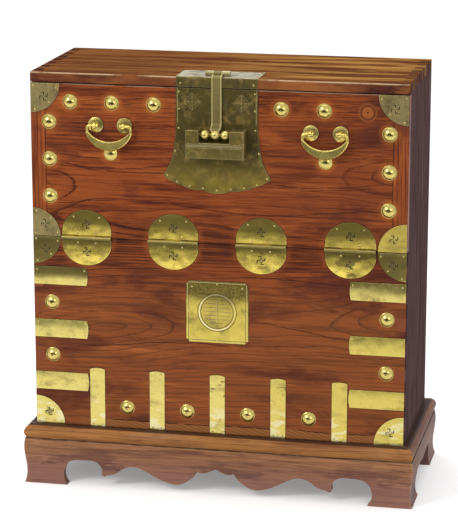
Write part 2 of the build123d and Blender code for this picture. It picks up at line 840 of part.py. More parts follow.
def make_padlock_body():
    """A U-shaped case: a hollow lower tube and two turrets that the bar joins across the notch."""
    body = block(-padlock_x, padlock_x, padlock_front_y, padlock_back_y, padlock_bottom_z, padlock_top_z)
    near, far = padlock_front_y - overshoot, padlock_back_y + overshoot
    body -= block(-notch_x, notch_x, near, far, notch_z, padlock_top_z + overshoot)
    body = chamfer(body.edges().filter_by(Axis.Y), padlock_edge)
    body = soften_front(body, padlock_front_edge)
    front = Plane(origin=(0, padlock_front_y, eye_z - padlock_bead_drop), x_dir=(1, 0, 0), z_dir=(0, -1, 0))
    groove = Rectangle(padlock_width - 4 * padlock_edge, bead_groove_width)
    for side in (-1, 1):
        offset = side * (padlock_bead_width + bead_groove_width) / 2
        body -= extrude(front * (Pos(0, offset) * groove), -bead_groove_depth)
    wall = padlock_wall
    inside_y = (padlock_front_y + wall, padlock_back_y - wall)
    body -= block(wall - padlock_x, padlock_x + overshoot, *inside_y, cavity_z, cavity_top_z)
    key_y = (eye_y - keyhole_width / 2, eye_y + keyhole_width / 2)
    key_z = (spine_z - keyhole_height / 2, spine_z + keyhole_height / 2)
    body -= block(-padlock_x - overshoot, 2 * wall - padlock_x, *key_y, *key_z)
    bore = bar_radius + bar_clearance
    return body - along_x(bore, bar_tip_x - bar_end_gap, padlock_x + overshoot, eye_y, bar_z)


def make_padlock_shackle():
    """The end plate, the bar through the three eyes and the stem that carries the springs."""
    x0, x1 = end_plate_x, end_plate_x + end_plate_thickness
    plate = block(x0, x1, padlock_front_y, padlock_back_y, padlock_bottom_z, padlock_top_z)
    plate = chamfer(plate.faces().sort_by(Axis.X)[-1].edges(), padlock_edge)
    shackle = plate + along_x(bar_radius, bar_tip_x, x1 - padlock_edge, eye_y, bar_z)
    stem_y = (eye_y - carrier_thickness / 2, eye_y + carrier_thickness / 2)
    stem_z = (spine_z - carrier_height / 2, spine_z + carrier_height / 2)
    return shackle + block(spring_x, x1 - padlock_edge, *stem_y, *stem_z)


def make_padlock_spring():
    """Two leaf springs that spread from the stem's tip."""
    near = carrier_thickness / 2
    far_x = spring_x + spring_length
    sole = Plane(origin=(0, eye_y, spine_z - spring_height / 2))
    leaves = []
    for side in (-1, 1):
        outline = Polyline(
            (spring_x, side * near),
            (far_x, side * spring_spread),
            (far_x, side * (spring_spread + spring_thickness)),
            (spring_x, side * (near + spring_thickness)),
            close=True,
        )
        leaves.append(extrude(sole * make_face(outline), spring_height))
    return Compound(leaves)


# ---------------------------------------------------------------- bail handles

bail_y = front_y - bail_standoff


def post_places():
    return [(side * handle_x + post * handle_post_x) for side in (-1, 1) for post in (-1, 1)]


def make_rosettes():
    rosettes = []
    hole = post_shank_radius + shank_clearance
    for x in post_places():
        profile = Polyline((0, 0), (rosette_radius, 0), (rosette_radius, rosette_rim))
        crown = (0.6 * rosette_radius, 0.8 * rosette_dome)
        profile += ThreePointArc((rosette_radius, rosette_rim), crown, (0, rosette_dome))
        profile += Line((0, rosette_dome), (0, 0))
        disc = turned(profile, x, handle_z)
        near, far = front_y - overshoot, front_y + overshoot
        rosettes.append(disc - rod(hole, (x, near, handle_z), (x, far, handle_z)))
    return Compound(rosettes)


def make_handle_posts():
    posts = []
    half = post_eye_width / 2
    bore = bail_rod_radius + bail_rod_clearance
    for x in post_places():
        eye = along_x(post_eye_radius, x - half, x + half, bail_y, handle_z)
        eye = chamfer(eye.edges().filter_by(GeomType.CIRCLE), post_eye_edge)
        inner_end = (x, door_inner_y + clinch_thickness, handle_z)
        post = eye + rod(post_shank_radius, (x, bail_y, handle_z), inner_end)
        post += clinched_legs(x, handle_z, post_shank_radius, post_leg_length)
        posts.append(post - along_x(bore, x - half - overshoot, x + half + overshoot, bail_y, handle_z))
    return Compound(posts)


def make_bail(side):
    """A crescent grip with bevelled edges, whose thin horns turn inwards through the posts' eyes."""
    x = side * handle_x
    horn_z = -bail_horn_drop
    inner_rise = bail_inner_radius - (bail_outer_radius - bail_belly)
    outer_x = math.sqrt(bail_outer_radius**2 - horn_z**2)
    inner_x = math.sqrt(bail_inner_radius**2 - (inner_rise - horn_z) ** 2)
    outline = ThreePointArc((-outer_x, horn_z), (0, -bail_outer_radius), (outer_x, horn_z))
    outline += Line((outer_x, horn_z), (inner_x, horn_z))
    outline += ThreePointArc((inner_x, horn_z), (0, bail_belly - bail_outer_radius), (-inner_x, horn_z))
    outline += Line((-inner_x, horn_z), (-outer_x, horn_z))
    plane = Plane(origin=(x, bail_y + bail_thickness / 2, handle_z), x_dir=(1, 0, 0), z_dir=(0, -1, 0))
    grip = extrude(plane * make_face(outline), bail_thickness)
    long_edges = [edge for edge in grip.edges() if edge.length > bail_outer_radius]
    grip = chamfer(long_edges, bail_edge)
    horn_x = (outer_x + inner_x) / 2
    root_z = horn_z - bail_rod_radius
    tip_x = handle_post_x - post_eye_width / 2 - bail_tip_gap - bail_tip_length / 2
    for end in (-1, 1):
        path = FilletPolyline((end * horn_x, root_z), (end * horn_x, 0), (end * tip_x, 0), radius=bail_turn)
        route = Plane(origin=(x, bail_y, handle_z), x_dir=(1, 0, 0), z_dir=(0, -1, 0)) * path
        start = Plane(origin=route @ 0, z_dir=route % 0)
        grip += sweep(start * Circle(bail_rod_radius), route)
        x0, x1 = sorted((x + end * (tip_x - bail_tip_length / 2), x + end * (tip_x + bail_tip_length / 2)))
        grip += along_x(bail_tip_radius, x0, x1, bail_y, handle_z)
    return grip


# ---------------------------------------------------------------- write every piece

save("top_board", make_top_board())
save("side_board_left", make_side_board(-1))
save("side_board_right", make_side_board(1))
save("back_board", make_back_board())
save("bottom_board", make_bottom_board())
save("lower_front_board", make_lower_front_board())

aprons = {
    "front": make_front_apron(),
    "back": make_back_apron(),
    "left": make_side_apron(),
    "right": make_side_apron(),
}
for place, location in stand_sides.items():
    length = stand_width if place in ("front", "back") else stand_depth
    save(f"stand_moulding_{place}", location * make_moulding(length))
    save(f"stand_apron_{place}", location * aprons[place])

save("door_panel", make_door_panel())
save("door_cleat_left", make_door_cleat(-1))
save("door_cleat_right", make_door_cleat(1))

for number, x in enumerate(hinge_x(), start=1):
    save(f"hinge_{number}_upper_leaf", make_hinge_leaf(x, 1))
    save(f"hinge_{number}_lower_leaf", make_hinge_leaf(x, -1))
save("hinge_pins", make_hinge_pins())

for side, name in ((-1, "left"), (1, "right")):
    x = side * plate_x
    up = 90 if side > 0 else 0
    down = 180 if side > 0 else 270
    save(f"edge_plate_upper_{name}", quarter_plate(x, door_bottom_z, edge_plate_radius, up))
    save(f"edge_plate_lower_{name}", quarter_plate(x, lower_front_top_z, edge_plate_radius, down))
    save(f"corner_plate_top_{name}", quarter_plate(x, door_top_z, corner_plate_radius, down))
    save(f"corner_plate_bottom_{name}", quarter_plate(x, base_z, corner_plate_radius, up))
    for level, z in zip(side_strap_levels, side_strap_z()):
        save(f"side_strap_{level}_{name}", make_side_strap(side, z))
    save(f"bail_{name}", make_bail(side))

save("bottom_straps", make_bottom_straps())
save("medallion_plate", make_medallion())
save("lock_plate", make_lock_plate())
save("door_studs", make_door_studs())
save("front_studs", make_front_studs())

save("hasp_plate", make_hasp_plate())
save("hasp_bracket", make_hasp_bracket())
save("hasp_pin", make_hasp_pin())
save("hasp", make_hasp())
save("lock_staples", make_lock_staples())
save("padlock_body", make_padlock_body())
save("padlock_shackle", make_padlock_shackle())
save("padlock_spring", make_padlock_spring())

save("handle_rosettes", make_rosettes())
save("handle_posts", make_handle_posts())
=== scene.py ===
import math

import bmesh
import bpy
from mathutils import Euler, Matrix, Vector


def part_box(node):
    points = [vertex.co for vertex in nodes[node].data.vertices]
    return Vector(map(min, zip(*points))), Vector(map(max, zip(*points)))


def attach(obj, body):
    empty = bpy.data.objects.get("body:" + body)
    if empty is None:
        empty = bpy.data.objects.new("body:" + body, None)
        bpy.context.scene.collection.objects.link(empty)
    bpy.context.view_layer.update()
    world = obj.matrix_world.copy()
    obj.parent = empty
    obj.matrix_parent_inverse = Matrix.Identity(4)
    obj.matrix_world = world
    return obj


# Looks of the chest: finishes of wood and brass with the marks painted on them, tacks, floor, lamps
# and camera. Metres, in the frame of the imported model: the front faces -Y, the floor is Z = 0.

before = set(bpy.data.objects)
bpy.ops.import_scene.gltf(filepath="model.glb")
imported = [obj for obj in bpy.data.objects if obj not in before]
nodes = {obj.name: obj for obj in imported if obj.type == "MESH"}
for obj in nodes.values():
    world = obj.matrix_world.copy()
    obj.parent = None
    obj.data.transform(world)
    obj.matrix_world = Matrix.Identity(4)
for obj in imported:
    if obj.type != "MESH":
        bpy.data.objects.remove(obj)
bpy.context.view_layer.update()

mm = 0.001
pin_radius = 2 * mm
cleat_width = 33 * mm
front_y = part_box("door_panel")[0].y
hinge_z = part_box("hinge_pins")[0].z + pin_radius
base_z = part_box("lower_front_board")[0].z
groove_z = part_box("stand_apron_front")[1].z
top_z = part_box("top_board")[1].z
brow_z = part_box("door_panel")[1].z
case_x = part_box("lower_front_board")[1].x
joint_x = case_x - cleat_width
lost_stud = (326 * mm, 868 * mm)


def islands(node):
    """The box of each loose part of a CAD node, as (lowest corner, highest corner)."""
    mesh = bmesh.new()
    mesh.from_mesh(nodes[node].data)
    bmesh.ops.remove_doubles(mesh, verts=mesh.verts, dist=1e-6)
    mesh.verts.ensure_lookup_table()
    seen = set()
    boxes = []
    for start in mesh.verts:
        if start in seen:
            continue
        seen.add(start)
        stack = [start]
        part = []
        while stack:
            vert = stack.pop()
            part.append(vert.co.copy())
            for edge in vert.link_edges:
                other = edge.other_vert(vert)
                if other not in seen:
                    seen.add(other)
                    stack.append(other)
        low = Vector([min(p[i] for p in part) for i in range(3)])
        high = Vector([max(p[i] for p in part) for i in range(3)])
        boxes.append((low, high))
    mesh.free()
    return boxes


def middle(box):
    return (box[0] + box[1]) / 2


fret_share = 0.45  # of a quarter plate's width, from its square corner to its fret
fret_rise = 31 * mm  # from the hinge line to the fret of a leaf


def fret_places():
    """Where the pierced frets of the quarter plates and the hinge leaves lie, as (X, Z)."""
    places = []
    for name in nodes:
        low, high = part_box(name)
        if name.startswith(("corner_plate", "edge_plate")):
            reach = fret_share * (high.x - low.x)
            x = low.x + reach if high.x < 0 else high.x - reach
            from_low = name.startswith(("edge_plate_upper", "corner_plate_bottom"))
            places.append((x, low.z + reach if from_low else high.z - reach))
        if name.endswith("_leaf"):
            away = fret_rise if "upper" in name else -fret_rise
            places.append((middle((low, high)).x, hinge_z + away))
    return places


bail_x = middle(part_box("bail_right")).x
stud_middles = [middle(box) for node in ("door_studs", "front_studs") for box in islands(node)]
stud_places = [(spot.x, spot.z) for spot in stud_middles]
hinge_places = [(middle(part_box(f"hinge_{number}_upper_leaf")).x, hinge_z) for number in range(1, 5)]

# ---------------------------------------------------------------- node helper


class Paint:
    """Builds the node tree of one material. Every method gives an output socket."""

    def __init__(self, name):
        self.material = bpy.data.materials.new(name)
        self.material.use_nodes = True
        self.tree = self.material.node_tree
        self.shader = self.tree.nodes["Principled BSDF"]
        self.object_place = self.add("ShaderNodeTexCoord").outputs["Object"]
        split = self.add("ShaderNodeSeparateXYZ", {0: self.object_place})
        self.x, self.y, self.z = split.outputs

    def add(self, kind, inputs=None, **settings):
        node = self.tree.nodes.new(kind)
        for key, value in settings.items():
            setattr(node, key, value)
        for key, value in (inputs or {}).items():
            self.feed(value, node.inputs[key])
        return node

    def feed(self, value, socket):
        if isinstance(value, bpy.types.NodeSocket):
            self.tree.links.new(value, socket)
        else:
            socket.default_value = value

    def math(self, operation, a, b=0.0, c=0.0):
        return self.add("ShaderNodeMath", {0: a, 1: b, 2: c}, operation=operation).outputs[0]

    def plus(self, value, *others):
        for other in others:
            value = self.math("ADD", value, other)
        return value

    def minus(self, a, b):
        return self.math("SUBTRACT", a, b)

    def times(self, value, *others):
        for other in others:
            value = self.math("MULTIPLY", value, other)
        return value

    def absolute(self, value):
        return self.math("ABSOLUTE", value)

    def step(self, value, start, end):
        """0 before start, 1 after end, smooth between them."""
        inputs = {"Value": value, "From Min": start, "From Max": end}
        node = self.add("ShaderNodeMapRange", inputs, interpolation_type="SMOOTHSTEP")
        return node.outputs["Result"]

    def vector(self, x, y, z):
        return self.add("ShaderNodeCombineXYZ", {0: x, 1: y, 2: z}).outputs[0]

    def cloud(
        self, scale, detail=3.0, roughness=0.55, distortion=0.0,
        turn=(0, 0, 0), shift=(0, 0, 0), space=None,
    ):
        """Noise, about 0 to 1, with a scale for each axis. It lies in object space, or in the
        space that is given, turned and shifted there."""
        placed = {"Vector": self.object_place if space is None else space, "Scale": scale}
        placed.update({"Rotation": turn, "Location": shift})
        inputs = {"Vector": self.add("ShaderNodeMapping", placed).outputs[0], "Scale": 1.0}
        inputs.update({"Detail": detail, "Roughness": roughness, "Distortion": distortion})
        return self.add("ShaderNodeTexNoise", inputs).outputs[0]

    def ramp(self, value, *stops):
        """Colours by value; each stop is (position, (r, g, b))."""
        node = self.add("ShaderNodeValToRGB", {0: value})
        elements = node.color_ramp.elements
        while len(elements) < len(stops):
            elements.new(0.5)
        for element, (position, color) in zip(elements, stops):
            element.position = position
            element.color = (*color, 1.0)
        return node.outputs[0]

    def mix(self, share, a, b):
        """Colour a at a share of 0, colour b at 1."""
        a, b = ((*v, 1.0) if isinstance(v, tuple) else v for v in (a, b))
        node = self.add("ShaderNodeMix", {"Factor": share, 6: a, 7: b}, data_type="RGBA")
        return node.outputs[2]

    def over(self, color, tone, *shares):
        """Color with tone laid over it, as much as the shares give when multiplied."""
        return self.mix(self.times(*shares), color, tone)

    def distance(self, x, z):
        """How far a point of the surface lies from a place in X and Z."""
        inputs = {0: self.vector(self.x, 0.0, self.z), 1: (x, 0.0, z)}
        return self.add("ShaderNodeVectorMath", inputs, operation="DISTANCE").outputs["Value"]

    def worn_edge(self, radius):
        """1 on a sharp edge, 0 on a flat."""
        bevel = self.add("ShaderNodeBevel", {"Radius": radius}, samples=4).outputs[0]
        true = self.add("ShaderNodeNewGeometry").outputs["Normal"]
        turned = self.add("ShaderNodeVectorMath", {0: bevel, 1: true}, operation="DOT_PRODUCT")
        return self.step(turned.outputs["Value"], 0.97, 0.80)

    def bump(self, height):
        """Height is in metres."""
        inputs = {"Height": height, "Strength": 1.0, "Distance": 1.0}
        return self.add("ShaderNodeBump", inputs).outputs[0]

    def near_any(self, places, inner, outer):
        """1 within inner of any of the places (X, Z), 0 beyond outer."""
        mask = 0.0
        for x, z in places:
            mask = self.math("MAXIMUM", mask, self.step(self.distance(x, z), outer, inner))
        return mask

    def in_front(self):
        """1 on the faces that look forward out of the chest, 0 inside it and on its sides."""
        return self.step(self.y, front_y + 0.0010, front_y + 0.0004)

    def hemmed(self, reach):
        """1 in the corner where a plate or a stud stands on the surface, 0 in the open."""
        seen = self.add("ShaderNodeAmbientOcclusion", {"Distance": reach}, samples=8).outputs["AO"]
        return self.step(seen, 0.92, 0.66)

    def between(self, value, low, high, soft):
        """1 while value lies from low to high, 0 outside, with soft ends."""
        begun = self.step(value, low - soft, low + soft)
        return self.times(begun, self.step(value, high + soft, high - soft))

    def line_at(self, value, place, half_width):
        """1 where value is within half_width of place."""
        off = self.absolute(self.minus(value, place))
        return self.step(off, half_width * 1.3, half_width * 0.7)

    def finish(self, color, roughness, normal, metallic=0.0, gloss=0.08):
        """gloss is the strength of the mirror layer over what isn't metal."""
        self.feed(color, self.shader.inputs["Base Color"])
        self.feed(roughness, self.shader.inputs["Roughness"])
        self.feed(normal, self.shader.inputs["Normal"])
        self.feed(metallic, self.shader.inputs["Metallic"])
        self.shader.inputs["Specular IOR Level"].default_value = gloss
        return self.material


# ---------------------------------------------------------------- wood


def flames(paint, along, across, left, right, slopes, cap, count):
    """Rings of a plain-sawn board, counted out from its heart: count to the metre, and closed in
    flames towards the ends, where the heart nears the face. left and right are the (along, across)
    of the places it reaches there, slopes how fast it dives from them and cap how deep it runs
    between."""
    before = paint.times(paint.minus(along, left[0]), slopes[0])
    after = paint.times(paint.minus(right[0], along), slopes[1])
    deep = paint.math("SMOOTH_MIN", before, after, 0.03)
    deep = paint.math("SMOOTH_MIN", deep, cap, 0.02)
    rise = (right[1] - left[1]) / (right[0] - left[0])
    heart = paint.plus(paint.times(paint.minus(along, left[0]), rise), left[1])
    off = paint.minus(across, heart)
    square = paint.plus(paint.times(off, off), paint.times(deep, deep))
    return paint.times(paint.math("SQRT", square), count)


def wander(paint, along, across, field, amount, seed):
    """The field of the rings bent out of true, in long slow swings and in short kinks."""
    space = paint.vector(along, across, seed)
    slow = paint.cloud((2.0, 6.0, 1.0), 2.0, 0.5, space=space)
    kinks = paint.cloud((14.0, 50.0, 1.0), 3.0, 0.5, space=space)
    return paint.plus(field, paint.times(slow, 2.8 * amount), paint.times(kinks, 0.45 * amount))


def wood_base(paint, axes, tones, field, bend=1.0, seed=0.0, width=0.12, dash=0.4, lines=1.0):
    """Colour and height of a board, and its broad smudges. axes names the one along the grain, the
    one across it and the one into the board. tones are (light, middle, dark, line) colours, field
    counts its rings, bend is how far they wander, and seed tells one board from another. width is
    a ring's dark share, dash the strength of the short strokes and lines that of the rings."""
    along, across, deep = (getattr(paint, axis) for axis in axes)
    light, body, dark, ink = tones
    grain = paint.vector(along, across, deep)
    fibre = paint.cloud((9.0, 420.0, 60.0), 3.0, 0.6, shift=(seed, 0, 0), space=grain)
    stroke = paint.cloud((13.0, 290.0, 30.0), 4.0, 0.62, shift=(0, seed, 0), space=grain)
    broad = paint.cloud((3.2, 42.0, 12.0), 4.0, 0.62, shift=(seed, 0, 0), space=grain)
    ring = paint.math("FRACT", wander(paint, along, across, field, bend, seed))
    late = paint.math("POWER", ring, 3.0)
    begins = paint.minus(0.97, width)
    thin = paint.step(ring, begins, paint.plus(begins, 0.07))
    thin = paint.times(thin, paint.step(ring, 1.0, 0.96))
    color = paint.ramp(broad, (0.34, dark), (0.47, body), (0.60, body), (0.74, light))
    color = paint.over(color, dark, late, lines, 0.42)
    patchy = paint.step(paint.cloud((3.0, 3.0, 9.0), 2.0, shift=(seed, 0, 3)), 0.30, 0.58)
    strength = paint.times(paint.plus(0.38, paint.times(patchy, 0.55)), lines)
    color = paint.over(color, ink, thin, strength)
    color = paint.over(color, dark, paint.step(fibre, 0.52, 0.64), 0.74)
    color = paint.over(color, light, paint.step(fibre, 0.46, 0.25), 0.34)
    color = paint.over(color, ink, paint.step(stroke, 0.57, 0.67), dash)
    color = paint.over(color, light, paint.step(stroke, 0.42, 0.28), dash, 0.7)
    height = paint.minus(paint.times(fibre, 0.00012), paint.times(thin, 0.00010))
    return color, height, broad


red_tones = (
    (0.50, 0.140, 0.032), (0.275, 0.066, 0.017), (0.105, 0.022, 0.011), (0.024, 0.008, 0.008),
)


def patina(paint):
    """Where rubbing has left the boards dark (first) and where it has left them bright (second)."""
    cloud = paint.cloud((4.5, 4.5, 12.0), 5.0, 0.6, 0.4)
    cloud = paint.plus(cloud, paint.times(paint.step(paint.x, 0.02, 0.42), 0.05))
    return paint.step(cloud, 0.50, 0.68), paint.step(cloud, 0.46, 0.30)


def glow_round_brass(paint, color):
    """Rubbing round the studs and the hinges has left the wood orange, most on the door."""
    cloud = paint.times(paint.step(paint.cloud((30, 30, 30), 2.0), 0.30, 0.62), paint.in_front())
    upward = paint.step(paint.z, hinge_z - 0.06, hinge_z + 0.04)
    amount = paint.times(paint.plus(0.12, paint.times(upward, 0.25)), paint.plus(0.5, cloud))
    studs = paint.times(paint.near_any(stud_places, 0.013, 0.030), paint.in_front())
    color = paint.over(color, (0.50, 0.150, 0.028), studs, amount)
    hinges = paint.near_any(hinge_places, 0.058, 0.074)
    return paint.over(color, (0.42, 0.105, 0.024), hinges, cloud, 0.40)


def dirt_and_shade_round_brass(paint, color):
    """Dirt and painted contact shade in the corner round every plate and stud, and painted shade,
    nearly black, on the wood under the pierced frets.
    """
    # painted contact shade with dirt, from ambient occlusion round the plates and studs
    color = paint.over(color, (0.020, 0.008, 0.005), paint.hemmed(0.0035), 0.85)
    # painted shade: the wood seen through the fret slots is nearly black
    bare = paint.times(paint.near_any(fret_places(), 0.0122, 0.0128), paint.in_front())
    return paint.over(color, (0.010, 0.006, 0.004), bare)


# Where the figure of the front's boards lies. A heart is given by its ends, as (X, Z).
lower_heart = ((-0.255, 0.366), (0.390, 0.416))
door_heart = ((-0.420, 0.672), (0.400, 0.735))
more_rings = ((0.50, 0.63, 11.0), (0.74, 0.92, 6.0), (0.30, 0.19, 4.0))  # (from, to, how many)
calm_x, calm_z = (-0.24, 0.30), (0.635, 0.730)
knot_z = (0.375, 0.465)
sliver_rise = 18.5 * mm
sliver_rings = 7.5 * mm
lone_lines = (  # (height, sway, phase, from, to)
    (0.645, 0.009, 3.6, -0.36, 0.34),
    (0.727, 0.010, 0.5, -0.37, -0.11),
    (0.712, 0.012, 2.5, 0.12, 0.37),
    (0.702, 0.009, 2.9, 0.19, 0.34),
    (0.492, 0.004, 1.0, 0.05, 0.30),
    (0.382, 0.016, 1.1, 0.06, 0.31),
    (0.330, 0.010, 2.2, -0.30, 0.02),
)


def long_lines(paint):
    """A few dark lines that run far along the boards, each in a wave of its own."""
    mask = 0.0
    kink = paint.times(paint.minus(paint.cloud((11, 1, 11), 4.0, 0.6), 0.5), 0.014)
    for height, sway, phase, start, end in lone_lines:
        wave = paint.times(paint.math("SINE", paint.plus(paint.times(paint.x, 11.0), phase)), sway)
        off = paint.absolute(paint.minus(paint.minus(paint.z, height), paint.plus(wave, kink)))
        span = paint.between(paint.x, start, end, 0.02)
        line = paint.times(paint.step(off, 0.0015, 0.0006), span)
        mask = paint.math("MAXIMUM", mask, line)
    broken = paint.step(paint.cloud((24, 1, 24), 2.0), 0.32, 0.50)
    return paint.times(mask, broken)


def front_wood():
    """Red-brown boards of the door and the lower front, with flames, wear and stains."""
    paint = Paint("front_wood")
    front = paint.in_front()
    low = flames(paint, paint.x, paint.z, *lower_heart, (0.24, 0.30), 0.046, 64.0)
    high = flames(paint, paint.x, paint.z, *door_heart, (0.36, 0.34), 0.044, 58.0)
    on_door = paint.step(paint.z, hinge_z - 0.001, hinge_z)
    field = paint.plus(low, paint.times(on_door, paint.minus(high, low)))
    crowd = paint.between(paint.z, hinge_z - 0.055, hinge_z + 0.055, 0.02)
    upper = paint.step(paint.z, hinge_z + 0.165, hinge_z + 0.235)
    for start, end, rings in more_rings:
        field = paint.plus(field, paint.times(paint.step(paint.z, start, end), rings))
    width = paint.plus(0.12, paint.times(crowd, 0.16))
    dash = paint.plus(0.28, paint.times(upper, 0.46), paint.times(crowd, 0.35))
    # The rings are fainter in the middle of the door, and stronger round the knot at the right.
    calm = paint.between(paint.z, *calm_z, 0.02)
    calm = paint.times(calm, paint.between(paint.x, *calm_x, 0.06))
    knot = paint.times(paint.between(paint.z, *knot_z, 0.02), paint.step(paint.x, 0.22, 0.28))
    lines = paint.plus(paint.minus(1.0, paint.times(calm, 0.55)), paint.times(knot, 0.6))
    color, height, broad = wood_base(
        paint, "xzy", red_tones, field, width=width, dash=dash, lines=lines
    )
    browner = paint.step(paint.z, hinge_z - 0.02, hinge_z - 0.16)
    color = paint.over(color, (0.260, 0.100, 0.034), browner, 0.35)
    dark, bright = patina(paint)
    shaded = paint.times(paint.step(paint.x, -0.05, 0.20), paint.between(paint.z, 0.60, 0.84, 0.04))
    color = paint.over(color, (0.115, 0.034, 0.020), shaded, 0.22)
    color = paint.over(color, (0.072, 0.018, 0.015), dark, 0.74)
    color = paint.over(color, (0.43, 0.120, 0.026), bright, 0.42)
    seam = paint.times(paint.step(paint.absolute(paint.minus(paint.z, hinge_z)), 0.085, 0.0), front)
    color = paint.over(color, (0.050, 0.014, 0.010), seam, paint.step(broad, 0.66, 0.42), 0.75)
    color = paint.over(color, (0.030, 0.009, 0.008), long_lines(paint), 0.75)
    color = glow_round_brass(paint, color)
    brow = paint.times(paint.step(paint.z, brow_z - 1.8 * mm, brow_z - 0.9 * mm), front)
    ragged = paint.step(paint.cloud((12, 1, 3), 4.0), 0.40, 0.56)
    color = paint.over(color, (0.46, 0.33, 0.24), brow, ragged, 0.7)
    from_lost = paint.distance(*lost_stud)
    color = paint.over(color, (0.46, 0.15, 0.036), paint.step(from_lost, 0.024, 0.013), front, 0.55)
    stain = paint.times(paint.step(from_lost, 0.011, 0.013), paint.step(from_lost, 0.018, 0.016))
    color = paint.over(color, (0.095, 0.020, 0.012), stain, front, 0.70)
    nail = paint.times(paint.step(from_lost, 0.0022, 0.0012), front)
    color = paint.over(color, (0.008, 0.005, 0.004), nail)
    patch, patch_color, joint = patch_strip(paint)
    color = paint.over(color, patch_color, patch)
    color = paint.over(color, (0.018, 0.010, 0.009), joint)
    color = dirt_and_shade_round_brass(paint, color)
    height = paint.minus(height, paint.times(paint.plus(joint, nail), 0.0006))
    ends = paint.step(paint.absolute(paint.x), case_x - 0.6 * mm, case_x - 0.2 * mm)
    color = paint.over(color, (0.040, 0.022, 0.022), ends)
    rough = paint.plus(paint.times(broad, 0.22), paint.times(ends, 0.6), 0.32)
    return paint.finish(color, rough, paint.bump(height), gloss=0.05)


def patch_strip(paint):
    """A sliver let in along the board's foot: where it lies, its slanting grain and its ragged
    dark joint."""
    wave = paint.times(paint.minus(paint.cloud((9, 1, 1), 4.0), 0.5), 0.012)
    above = paint.minus(paint.z, paint.plus(wave, base_z + sliver_rise))
    inside = paint.step(above, 0.0008, -0.0008)
    slant = paint.plus(paint.times(paint.x, 0.36), paint.z)
    ring = paint.math("FRACT", paint.times(slant, 1 / sliver_rings))
    dark = paint.times(paint.step(ring, 0.72, 0.9), paint.step(ring, 1.0, 0.93))
    color = paint.mix(paint.times(dark, 0.7), (0.30, 0.115, 0.036), (0.075, 0.026, 0.014))
    begins = paint.step(paint.x, -0.36, -0.25)
    joint = paint.times(paint.step(paint.absolute(above), 0.0012, 0.0004), begins)
    ragged = paint.step(paint.cloud((40, 1, 60)), 0.35, 0.55)
    return paint.times(inside, begins), color, paint.times(joint, ragged)


def cleat_wood():
    """The door's end cleats, whose grain runs upright."""
    paint = Paint("cleat_wood")
    field = paint.times(paint.x, 1 / (8 * mm))
    color, height, broad = wood_base(paint, "zxy", red_tones, field, bend=0.5, seed=4.0)
    color = paint.over(color, (0.085, 0.024, 0.018), patina(paint)[0], 0.5)
    color = glow_round_brass(paint, color)
    off_joint = paint.absolute(paint.minus(paint.absolute(paint.x), joint_x))
    joint = paint.step(off_joint, 0.0011, 0.0005)
    color = paint.over(color, (0.020, 0.009, 0.007), joint, 0.8)
    color = dirt_and_shade_round_brass(paint, color)
    return paint.finish(color, paint.plus(paint.times(broad, 0.22), 0.32), paint.bump(height))


def top_wood():
    """The top board: golden brown, streaked, scuffed pale along its front arris."""
    paint = Paint("top_wood")
    tones = ((0.38, 0.17, 0.045), (0.20, 0.07, 0.022), (0.095, 0.03, 0.014), (0.03, 0.012, 0.009))
    field = paint.times(paint.y, 1 / (20 * mm))
    color, height, broad = wood_base(paint, "xyz", tones, field, bend=1.3, seed=8.0, dash=0.7)
    gilt = paint.cloud((3.4, 34.0, 5.0), 5.0, 0.64, 0.2)
    rightward = paint.plus(0.15, paint.times(paint.step(paint.x, -0.25, 0.35), 0.85))
    color = paint.over(color, (0.50, 0.270, 0.070), paint.step(gilt, 0.42, 0.66), rightward, 0.80)
    color = paint.over(color, (0.080, 0.022, 0.013), paint.step(gilt, 0.50, 0.36), 0.75)
    front_face = paint.step(paint.y, front_y + 0.0012, front_y + 0.0002)
    red = paint.mix(paint.step(broad, 0.34, 0.62), (0.090, 0.024, 0.017), (0.36, 0.120, 0.038))
    color = paint.over(color, red, front_face, 0.8)
    burnt = paint.step(paint.cloud((7, 1, 30), 4.0, 0.6, shift=(3, 0, 0)), 0.40, 0.54)
    ends = paint.step(paint.absolute(paint.x), 0.10, 0.36)
    ends = paint.plus(0.20, paint.times(ends, 0.65))
    color = paint.over(color, (0.045, 0.017, 0.015), front_face, burnt, ends)
    rub = paint.cloud((16, 4, 4), 4.0)
    near_front = paint.step(paint.y, front_y + 0.0045, front_y + 0.001)
    near_top = paint.step(paint.z, top_z - 0.0035, top_z - 0.001)
    wear = paint.times(near_front, near_top, paint.step(rub, 0.38, 0.55))
    color = paint.over(color, (0.62, 0.44, 0.26), wear, 0.8)
    scuffs = paint.step(paint.cloud((10, 60, 10), 5.0, 0.7), 0.64, 0.72)
    color = paint.over(color, (0.60, 0.42, 0.24), scuffs, 0.35)
    rough = paint.plus(paint.times(broad, 0.25), 0.42)
    return paint.finish(color, rough, paint.bump(height), gloss=0.0)


